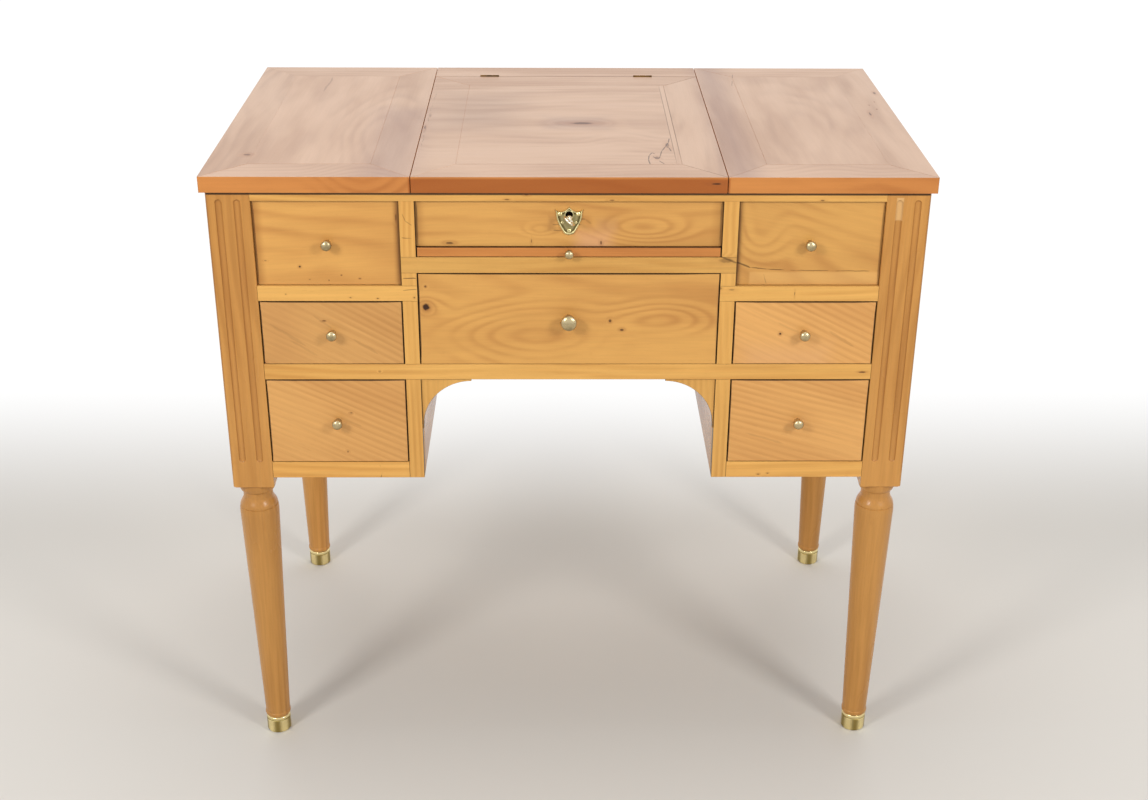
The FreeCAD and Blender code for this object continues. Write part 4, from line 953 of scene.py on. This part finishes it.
def post_outline(fluted, round_corner):
    """Points round a rounded square, and the outward way of those on a fluted face (zero elsewhere)."""
    corners = [(1, 1), (-1, 1), (-1, -1), (1, -1)]
    points, outward = [], []
    for number, (sx, sy) in enumerate(corners):
        size = ARRIS if (sx, sy) == round_corner else WORN_ARRIS
        turn = np.linspace(0, np.pi / 2, 7) + np.arctan2(sy, sx) - np.pi / 4
        ways = np.stack([np.cos(turn), np.sin(turn)], axis=1)
        points.append(np.array([sx, sy]) * (POST_HALF - size) + ways * size)
        outward.append(np.zeros((7, 2)))
        nx, ny = corners[(number + 1) % 4]
        face = np.array([(sx + nx) / 2, (sy + ny) / 2])
        line = np.array([nx - sx, ny - sy]) / 2
        count = 96 if tuple(face) in fluted else 6
        span = np.linspace(-POST_HALF + ARRIS + 0.4, POST_HALF - ARRIS - 0.4, count)
        points.append(face * POST_HALF + span[:, None] * line)
        outward.append(np.tile(face if tuple(face) in fluted else (0, 0), (count, 1)))
    return np.concatenate(points), np.concatenate(outward)


def post_block(x, y, fluted, round_corner):
    """The outline swept up. A flute is round: its depth times the root of one less distance squared."""
    points, outward = post_outline(fluted, round_corner)
    ends = np.linspace(-1.5, FLUTE_HALF + 1.5, 18)
    levels = np.concatenate([[POST_LOW, POST_LOW + 0.8], FLUTE_LOW + ends,
                             np.linspace(FLUTE_LOW + 12, FLUTE_HIGH - 12, 14),
                             (FLUTE_HIGH - ends)[::-1], [POST_TOP - 0.6, POST_TOP]])
    past = np.maximum(np.maximum(FLUTE_LOW + FLUTE_HALF - levels, levels - FLUTE_HIGH + FLUTE_HALF), 0)
    sideways = np.abs(np.abs(points[:, 0] * outward[:, 1] + points[:, 1] * outward[:, 0]) - FLUTE_STEP)
    away = np.hypot(sideways[None, :], past[:, None]) / FLUTE_HALF
    depth = FLUTE_DEPTH * np.sqrt(np.clip(1 - away ** 2, 0, 1)) * (np.abs(outward).sum(axis=1) > 0)
    shrink = np.ones(len(levels))
    shrink[[0, -1]] = 1 - WORN_ARRIS / POST_HALF
    flat = points[None] * shrink[:, None, None] - outward[None] * depth[:, :, None]
    heights = np.broadcast_to(levels[:, None, None], depth.shape + (1,))
    return ringed(np.concatenate([flat + [x, y], heights], 2))


print("square part of a post, from and to in mm:", POST_LOW, round(POST_TOP, 1))

# %% [markdown]
# The turned part is one profile of radius and height, read downwards: a round collar under the square,
# a short neck, a flare, a turned line, the widest point, a straight taper, a bead, and the peg below.

# %% Turned part
NECK, NECK_END, FLARE_DROP, TAPER_FOOT = 17.3, POST_LOW - 20, 11.5, 15

quarter = np.linspace(0, np.pi / 2, 10)
flare = np.linspace(0, 1, 12)
flare_out = 4.8 * (0.3 * flare + 0.7 * np.sin(flare * np.pi / 2) ** 2)
taper = np.linspace(316, 31, 12)
bead = np.linspace(-np.pi / 2, np.pi / 2, 10)
LEG_PROFILE = [
    (0, POST_LOW), (22, POST_LOW),
    *zip(17.6 + 4.4 * np.cos(quarter), POST_LOW - 12.6 * np.sin(quarter)),
    (17.2, POST_LOW - 15), (NECK, NECK_END),
    *zip(NECK + flare_out, NECK_END - FLARE_DROP * flare),
    (22.1, 328.6), (21.6, 328.3), (21.6, 327.7), (22.3, 327.3), (22.7, 325), (23, 322), (23, 319),
    *zip(TAPER_FOOT + 8 * (taper - 30) / 290, taper),
    *zip(TAPER_FOOT + 0.7 * np.cos(bead), 27 - 2.6 * np.sin(bead)),
    (15, 24.1), (13.2, 24.0), (13.2, 3), (0, 3),
]
print("rings of a leg:", len(LEG_PROFILE), "widest in mm:", max(radius for radius, height in LEG_PROFILE))

# %% [markdown]
# Front posts show two fluted faces and rear posts one; the outer corner is worn round.
# Each spot keeps how deep it lies in a flute, as a number called hollow. Painted shade darkens the rims of
# the flutes.

# %% Set up the posts
LEG_TONES = {"post_front_left": -0.1, "post_front_right": -0.08, "post_rear_left": 0.02,
             "post_rear_right": -0.14}
for node, leg_tone in LEG_TONES.items():
    side = -1 if "left" in node else 1
    x, y, fluted, corner = side * POST_X, POST_REAR, {(side, 0)}, (side, 1)
    if "front" in node:
        y, fluted, corner = POST_FRONT, {(side, 0), (0, -1)}, (side, -1)
    surfaces = [post_block(x, y, fluted, corner), revolved(LEG_PROFILE[::-1], (x, y, 0))]
    piece = joined(node + "_turned", surfaces)
    smooth(piece, 32)
    below = read_out(piece.data.polygons, "center")[:, 2] < POST_LOW / 1000
    plant(piece, UPWARD, (x * 0.8, y + 70, 400), np.where(below, leg_tone, 0.0))
    spots = read_out(piece.data.vertices, "co") * 1000 - (x, y, 0)
    inset = POST_HALF - np.abs(spots[:, :2]).max(axis=1)
    inset = np.where((spots[:, 2] > POST_LOW + 1) & (spots[:, 2] < POST_TOP - 1), inset, 0)
    write_on(piece, "hollow", np.clip(inset / FLUTE_DEPTH, 0, 1))
    settle(piece, node, WOODS["posts"])
print("posts made:", len(LEG_TONES), "with", len(piece.data.polygons), "faces each or so")

# %% [markdown]
# ## Metal finishes
# Knobs are pale cast brass with patches of soft tarnish.
# The ferrules are yellower, and the shield round the keyhole is old brass with brown in its hollows.
# One group gives fine scratches and soft tarnish to all of them.

# %% Metal recipe
worn_group, given, result = group("worn_metal", {"Scratch": 900.0, "Cloud": 60.0}, ["Lines", "Tarnish"])
spot = object_spot(worn_group)
drawn = vectors("MULTIPLY", spot, (1.0, 0.25, 0.25))
line = chain("ShaderNodeTexNoise", drawn, named={"Scale": given["Scratch"], "Detail": 3.0})
feed(result["Lines"], line)
cloud = chain("ShaderNodeTexNoise", spot, named={"Scale": given["Cloud"], "Detail": 4.0})
feed(result["Tarnish"], ramp(cloud, 0.42, 0.68))


def metal(name, bright, dull, rough, tarnish, cloud=90.0, dull_share=0.0):
    """A worn metal: bright where worn and on painted bands of reflection, dull where tarnish stays and
    between those bands, black in old dirt and in a keyhole painted black as shade.
    """
    made, tree = new_finish(name)
    worn = use(tree, worn_group, Cloud=cloud)
    mask = sums("MULTIPLY", worn["Tarnish"], tarnish)
    if dull_share:
        wear_and_light = step(tree, "ShaderNodeAttribute", out="Fac", attribute_name="wear_and_light")
        mask = sums("MAXIMUM", mask, ramp(wear_and_light, 0.0, 1.0, dull_share, 0.0))
    colour = blend(mask, tint(bright), tint(dull))
    # The lowest brightness turns black: old dirt under the ferrule rims, and painted shade in the keyhole.
    if dull_share:
        colour = blend(ramp(wear_and_light, -1.0, -0.5, 1.0, 0.0), colour, tint("0C0805"))
    grey = sums("ADD", sums("MULTIPLY", mask, 0.25), rough)
    grey = sums("ADD", grey, sums("MULTIPLY", worn["Lines"], 0.12))
    bump = step(tree, "ShaderNodeBump",
                named={"Height": worn["Lines"], "Strength": 0.12, "Distance": 0.0001})
    dress(tree, {"Base Color": colour, "Roughness": grey, "Normal": bump, "Metallic": 1.0})
    return made


METALS = {
    "knob_brass": metal("knob_brass", "C4B28A", "6E5E3C", 0.22, 0.5),
    "ferrule_brass": metal("ferrule_brass", "FBEAAE", "85702E", 0.12, 0.18, 40.0, 0.9),
    "old_brass": metal("old_brass", "EADCA4", "564820", 0.2, 0.45, 330.0, 0.95),
    # Hinge brass is dark brown as painted shade, so the knuckles behind the centre lid read as the dark
    # joint there.
    "hinge_brass": metal("hinge_brass", "6A4E2A", "2E2010", 0.5, 0.6, 90.0),
    "lock_iron": metal("lock_iron", "F0E9D2", "A89D80", 0.14, 0.25, 120.0),
}
print("metals:", sorted(METALS))

# %% [markdown]
# ## Knobs
# Knobs are turned on a lathe: a small foot, a thin neck and a domed cap like a mushroom.
# The drawer knobs take their places and widths from the frame; the pair on the false fronts is given. Three
# sizes occur, each with its own reach.

# %% Turn the knobs
OUTWARD, INTO = (0, -1, 0), (0, 1, 0)
REACH = {6: 14, 9: 17, 5: 12}


def arc(count):
    """Shares of a quarter round from 0 to 1 in both directions: sine and one minus cosine."""
    turn = np.linspace(0, np.pi / 2, count)
    return np.sin(turn), 1 - np.cos(turn)


def knob_at(x, y, z, radius, reach):
    """A turned knob: foot, neck, the underside of the cap, then its dome."""
    grow, lift = arc(10)
    dome = np.linspace(0.1, 1.5, 14)
    shares = [(0, 0), (0.62, 0), (0.6, 0.06), (0.45, 0.18), (0.42, 0.3), (0.43, 0.42),
              *zip(0.43 + 0.57 * grow, 0.45 + 0.25 * lift),
              *zip(np.cos(dome), 0.72 + 0.28 * np.sin(dome)), (0, 1)]
    return revolved(np.array(shares) * (radius, reach), (x, y, z), OUTWARD, 48)


def finish_metal(piece, node):
    """Smooth a casting and give it the metal of its slot."""
    smooth(piece, 40)
    settle(piece, node, METALS[slots[node]])


KNOBS = {"false_front_knobs": [(x, FALSE_FACE, 662.7, 6, REACH[6]) for x in (-263.5, 263.5)]}
for owner in SIDE_DRAWERS + ["centre_drawer", "slide"]:
    low, high = box_mm(owner + "_knob")
    x, _, z = (low + high) / 2
    radius = (high[0] - low[0]) / 2
    reach = REACH[round(radius)]
    KNOBS[owner + "_knob"] = [(x, low[1] + reach, z, radius, reach)]
for node, places in KNOBS.items():
    finish_metal(joined(node + "_cast", [knob_at(*place) for place in places]), node)
print("knob sets:", len(KNOBS))

# %% [markdown]
# ## Ferrules
# Ferrules are brass cups that shield the feet, with a turned line, a rounded sole and dirt under the rim.
# Each spot keeps a number for how bright it is: 1 is bright, 0 is dull, and below that lies old dirt. Round
# the wall it swings in five soft bands, painted reflections of polished brass.

# %% Turn the ferrules
sole, rim = arc(6)
FERRULE = [
    (0, 0), (12.6, 0), *zip(12.6 + 2.2 * sole, 2.2 * rim),
    (14.8, 4), (14.8, 17.4), (14.3, 17.8), (14.2, 18.4),
    *zip(14.1 + 0.8 * np.cos(bead), 20.7 + 2.1 * np.sin(bead)),
    (13.7, 23.2), (13.5, 24), (13.4, 22), (0, 22),
]
LINE_Z, BEAD_Z, RIM_Z = 18, 18.5, 22.9
feet = [(side * POST_X, y, 0) for side in (-1, 1) for y in (POST_FRONT, POST_REAR)]
cups = joined("foot_ferrules_cast", [revolved(FERRULE, foot) for foot in feet])
turn, heights = np.meshgrid(np.arange(TURN_STEPS) * 2 * np.pi / TURN_STEPS, [h for r, h in FERRULE])
# Painted reflections: five soft bright and dull bands round each ferrule.
reflection_bands = 0.55 + 0.45 * np.cos(5 * (turn - math.radians(235)))
wear_and_light = np.where(heights > BEAD_Z, 1.0, np.where(np.abs(heights - LINE_Z) < 0.5, 0.1, reflection_bands))
write_on(cups, "wear_and_light", np.tile(np.where(heights > RIM_Z, -0.9, wear_and_light).ravel(), len(feet)))
finish_metal(cups, "foot_ferrules")
print("ferrules:", len(feet))

# %% [markdown]
# ## Shield
# The shield is cast: its top edge has two hollow curves that meet in a point, and two small bosses.
# It is built from rings drawn in towards the centre: edge, raised rim, then a lower field.
# Domes on it are the bosses and the keyhole. Rim and bosses are worn bright, and the keyhole is painted
# black as the shade inside the hole.

# %% Draw the shield
KEY_Z = 693.2
SHIELD_HALF, SHIELD_Z = 15.5, KEY_Z - 4.3


def shield_outline(count):
    """Points round the shield: two hollow curves along the top, curved flanks and a round tip."""
    hollow = np.linspace(0, 1, count)
    fall = 3.9 * np.sin(np.pi * hollow) ** 0.8 + 2.6 * hollow
    half_top = np.stack([SHIELD_HALF * hollow, 15.3 - fall], 1)
    top = np.concatenate([half_top[:0:-1] * (-1, 1), half_top])
    turn = np.linspace(0, np.pi, count)[1:-1]
    tip = np.stack([6.2 * np.cos(turn), -12.6 - 6.2 * np.sin(turn) * 0.62], 1)
    flank = np.array([(14.6, 11), (14.2, 8), (13.95, 4), (12.9, 0), (11.4, -3.6), (9.2, -8), (7.4, -11)])
    return np.concatenate([top, flank, tip, flank[::-1] * (-1, 1)])


print("points round the shield:", len(shield_outline(20)))

# %% Cast the shield
SHIELD_RINGS = [
    (1, 0, 0.3), (1, 1.0, 0.8), (0.97, 1.6, 1.0), (0.92, 1.8, 1.0), (0.87, 1.5, 0.6), (0.83, 1.0, 0.0),
    (0.6, 1.1, 0.45), (0.4, 1.2, 0.35), (0.05, 1.25, 0.3),
]
# Each dome: radius, rise, x, z, brightness and lift. The fourth dome, at -1, is the keyhole painted black
# as shade.
DOMES = [
    (2.7, 1.6, -9.8, SHIELD_Z + 7.6, 1.0, 1.0), (2.7, 1.6, 9.8, SHIELD_Z + 7.6, 1.0, 1.0),
    (5.0, 0.5, 0, KEY_Z + 2.2, 0.8, 1.0), (4.1, 0.15, 0, KEY_Z + 2.5, -1.0, 1.7),
    (2.4, 1.2, 0, SHIELD_Z - 11.6, 1.0, 1.0), (1.9, 0.9, -7.2, SHIELD_Z - 2.4, 0.6, 1.0),
    (1.9, 0.9, 7.2, SHIELD_Z - 2.4, 0.6, 1.0),
]


def shield_surface():
    """The shield's rings: outline times share, raised by height. Gives also how bright each spot is from
    wear.
    """
    outline = shield_outline(20)
    share, height, wear_and_light = np.array(SHIELD_RINGS).T
    x, z = np.moveaxis(share[:, None, None] * outline, 2, 0)
    rings = np.stack([x, np.broadcast_to(FALSE_FACE - height[:, None], x.shape), SHIELD_Z + z], 2)
    return ringed(rings[:, ::-1]), np.repeat(wear_and_light, len(outline))


def cast_dome(radius, rise, x, z, wear_and_light, lift):
    """A low round dome on the shield, with one brightness for all its rings; -1 paints it black, as painted
    shade in the keyhole.
    """
    turn = np.linspace(0.1, 1.45, 6)
    curve = zip(radius * np.cos(turn), 0.3 + rise * np.sin(turn))
    profile = [(0, 0), (radius, 0), *curve, (0, 0.3 + rise)]
    dome = revolved(profile, (x, FALSE_FACE - lift, z), OUTWARD, 32)
    return dome, np.full(len(dome[0]), wear_and_light)


castings = [shield_surface()] + [cast_dome(*row) for row in DOMES]
shield = joined("escutcheon_cast", [surface for surface, wear_and_light in castings])
write_on(shield, "wear_and_light", np.concatenate([wear_and_light for surface, wear_and_light in castings]))
finish_metal(shield, "escutcheon")
print("shield's middle at z =", round(SHIELD_Z, 1), "mm, domes:", len(DOMES))

# %% [markdown]
# ## Key
# The key stands in the lock. Its ring, the bow, is round wire seen almost edge on, leaning to the right.
# The bow is a circle of small circles. Stem and collar are turned on the line of the lock.

# %% Forge the key
BOW, WIRE, BOW_TILT = 6.25, 1.25, math.radians(40)
BOW_STEPS, WIRE_STEPS = 48, 16

low, high = box_mm("key")
flat = np.array([math.cos(BOW_TILT), 0, -math.sin(BOW_TILT)])
turn = np.arange(BOW_STEPS) * 2 * np.pi / BOW_STEPS
tube = np.arange(WIRE_STEPS) * 2 * np.pi / WIRE_STEPS
around = np.cos(turn)[:, None] * flat + np.sin(turn)[:, None] * np.array(INTO)
outer = around[:, None] * (BOW + WIRE * np.cos(tube))[None, :, None]
across = (WIRE * np.sin(tube))[None, :, None] * np.cross(flat, INTO)
loop = np.array([0, low[1] + BOW + WIRE, KEY_Z]) + outer + across
bow = (np.concatenate([loop, loop[:1]]).reshape(-1, 3), grid_faces(BOW_STEPS + 1, WIRE_STEPS).tolist())
stem_start = low[1] + 13.5
stem_long = high[1] - stem_start
stem = [(0, 0), (2.2, 0), (2.4, 0.4), (2.4, stem_long), (0, stem_long)]
stem = revolved(stem, (0, stem_start, KEY_Z), INTO, 24)
swell = np.linspace(0.2, 2.94, 9)
collar = [(0, 0), *zip(3.4 * np.sin(swell), 2.6 - 2.6 * np.cos(swell)), (0, 5.2)]
collar = revolved(collar, (0, low[1] + 13.2, KEY_Z), INTO, 24)
finish_metal(joined("key_cast", [bow, stem, collar]), "key")
print("key stands at z =", KEY_Z, "mm, its stem is", round(stem_long, 1), "mm long")

# %% [markdown]
# ## Hinges and lock
# These sit inside the lids and the case and show when the lids stand open.
# The leaves and the lock get a small bevel like filed metal.

# %% Dress the inner fittings
FITTINGS = ["case_hinges", "lid_left_hinge_leaves", "lid_right_hinge_leaves", "lid_centre_hinge_leaves",
            "strike_plate", "lock_case", "lock_bolt"]
for node in FITTINGS:
    piece = soften(welded(node + "_filed", triangles(node)), 0.15, 40)
    settle(piece, node, METALS["hinge_brass" if "hinge" in node else slots[node]])
print("fittings filed:", len(FITTINGS))

# %% [markdown]
# ## Looking-glass
# The glass under the centre lid is a silvered mirror with faint foxing, where damp reached the silver.

# %% Silver the glass
mirror, tree = new_finish("looking_glass")
fox = ramp(use(tree, worn_group, Cloud=25.0)["Tarnish"], 0.0, 1.0, 0.0, 0.05)
silver = blend(fox, tint("EEF1EE"), tint("8B8478"))
rough = sums("ADD", sums("MULTIPLY", fox, 0.5), 0.03)
dress(tree, {"Base Color": silver, "Roughness": rough, "Metallic": 1.0})
settle(soften(welded("mirror_glass_silvered", triangles("mirror_glass")), 0.5), "mirror_glass", mirror)
print("frame pieces still shown bare:", sorted(n for n in nodes if not nodes[n].hide_render))

# %% [markdown]
# ## Lamps
# Two broad soft lamps stand to the left and right of the viewer, so each knob throws two pale shadows.
# A wide weak panel overhead lights the lids as a ceiling does.

# %% Light the room
def lamp(name, place, aim, size, power):
    """A square lamp at a place in metres, turned to shine at the aim."""
    light = bpy.data.lights.new(name, "AREA")
    light.shape = "SQUARE"
    light.size = size
    light.energy = power
    piece = bpy.data.objects.new(name, light)
    bpy.context.scene.collection.objects.link(piece)
    piece.location = place
    piece.rotation_mode = "QUATERNION"
    piece.rotation_quaternion = (Vector(aim) - Vector(place)).to_track_quat("-Z", "Y")


lamp("left_lamp", (-1.3, -1.55, 1.6), (0, -0.1, 0.5), 0.45, 17.4)
lamp("right_lamp", (1.35, -1.55, 1.6), (0, -0.1, 0.5), 0.45, 16.9)
lamp("sky_panel", (0, 0.7, 3.2), (0, 0, 0.4), 2.4, 46)

# %% [markdown]
# ## Floor and background
# The floor is plain and pale, and fades to white behind the table and far from it.
# The background is white to the eye, and a softer grey lights the wood.

# %% Lay the floor
BLACK, WHITE = (0, 0, 0, 1), (1, 1, 1, 1)

floor_finish, tree = new_finish("pale_floor")
spot = object_spot(tree)
behind = ramp(chain("ShaderNodeSeparateXYZ", spot, out="Y"), 0.26, 0.9)
fading = sums("MAXIMUM", behind, ramp(vectors("LENGTH", spot), 2.4, 4.6))
pale, glow = blend(fading, tint("D3CEC6"), BLACK), blend(fading, BLACK, WHITE)
dress(tree, {"Base Color": pale, "Roughness": 0.9, "Emission Color": glow, "Emission Strength": 1.0})
floor = skin("floor", [(-6, -6, 0), (6, -6, 0), (6, 9, 0), (-6, 9, 0)], [(0, 1, 2, 3)])
floor.data.materials.append(floor_finish)
print("floor laid, in metres:", [round(v, 1) for v in floor.dimensions])

# %% Paint the background
world = bpy.data.worlds.new("room")
bpy.context.scene.world = world
world.use_nodes = True
tree = world.node_tree
rays = step(tree, "ShaderNodeLightPath").node.outputs
seen = sums("MAXIMUM", rays["Is Camera Ray"], rays["Is Glossy Ray"])
seen = sums("MAXIMUM", seen, rays["Is Transmission Ray"])
shown = tree.nodes["Background"].inputs
feed(shown["Strength"], 1.0)
feed(shown["Color"], blend(seen, tint("B9BCC0"), WHITE))
bpy.context.scene.view_settings.view_transform = "Standard"
print("background:", world.name)
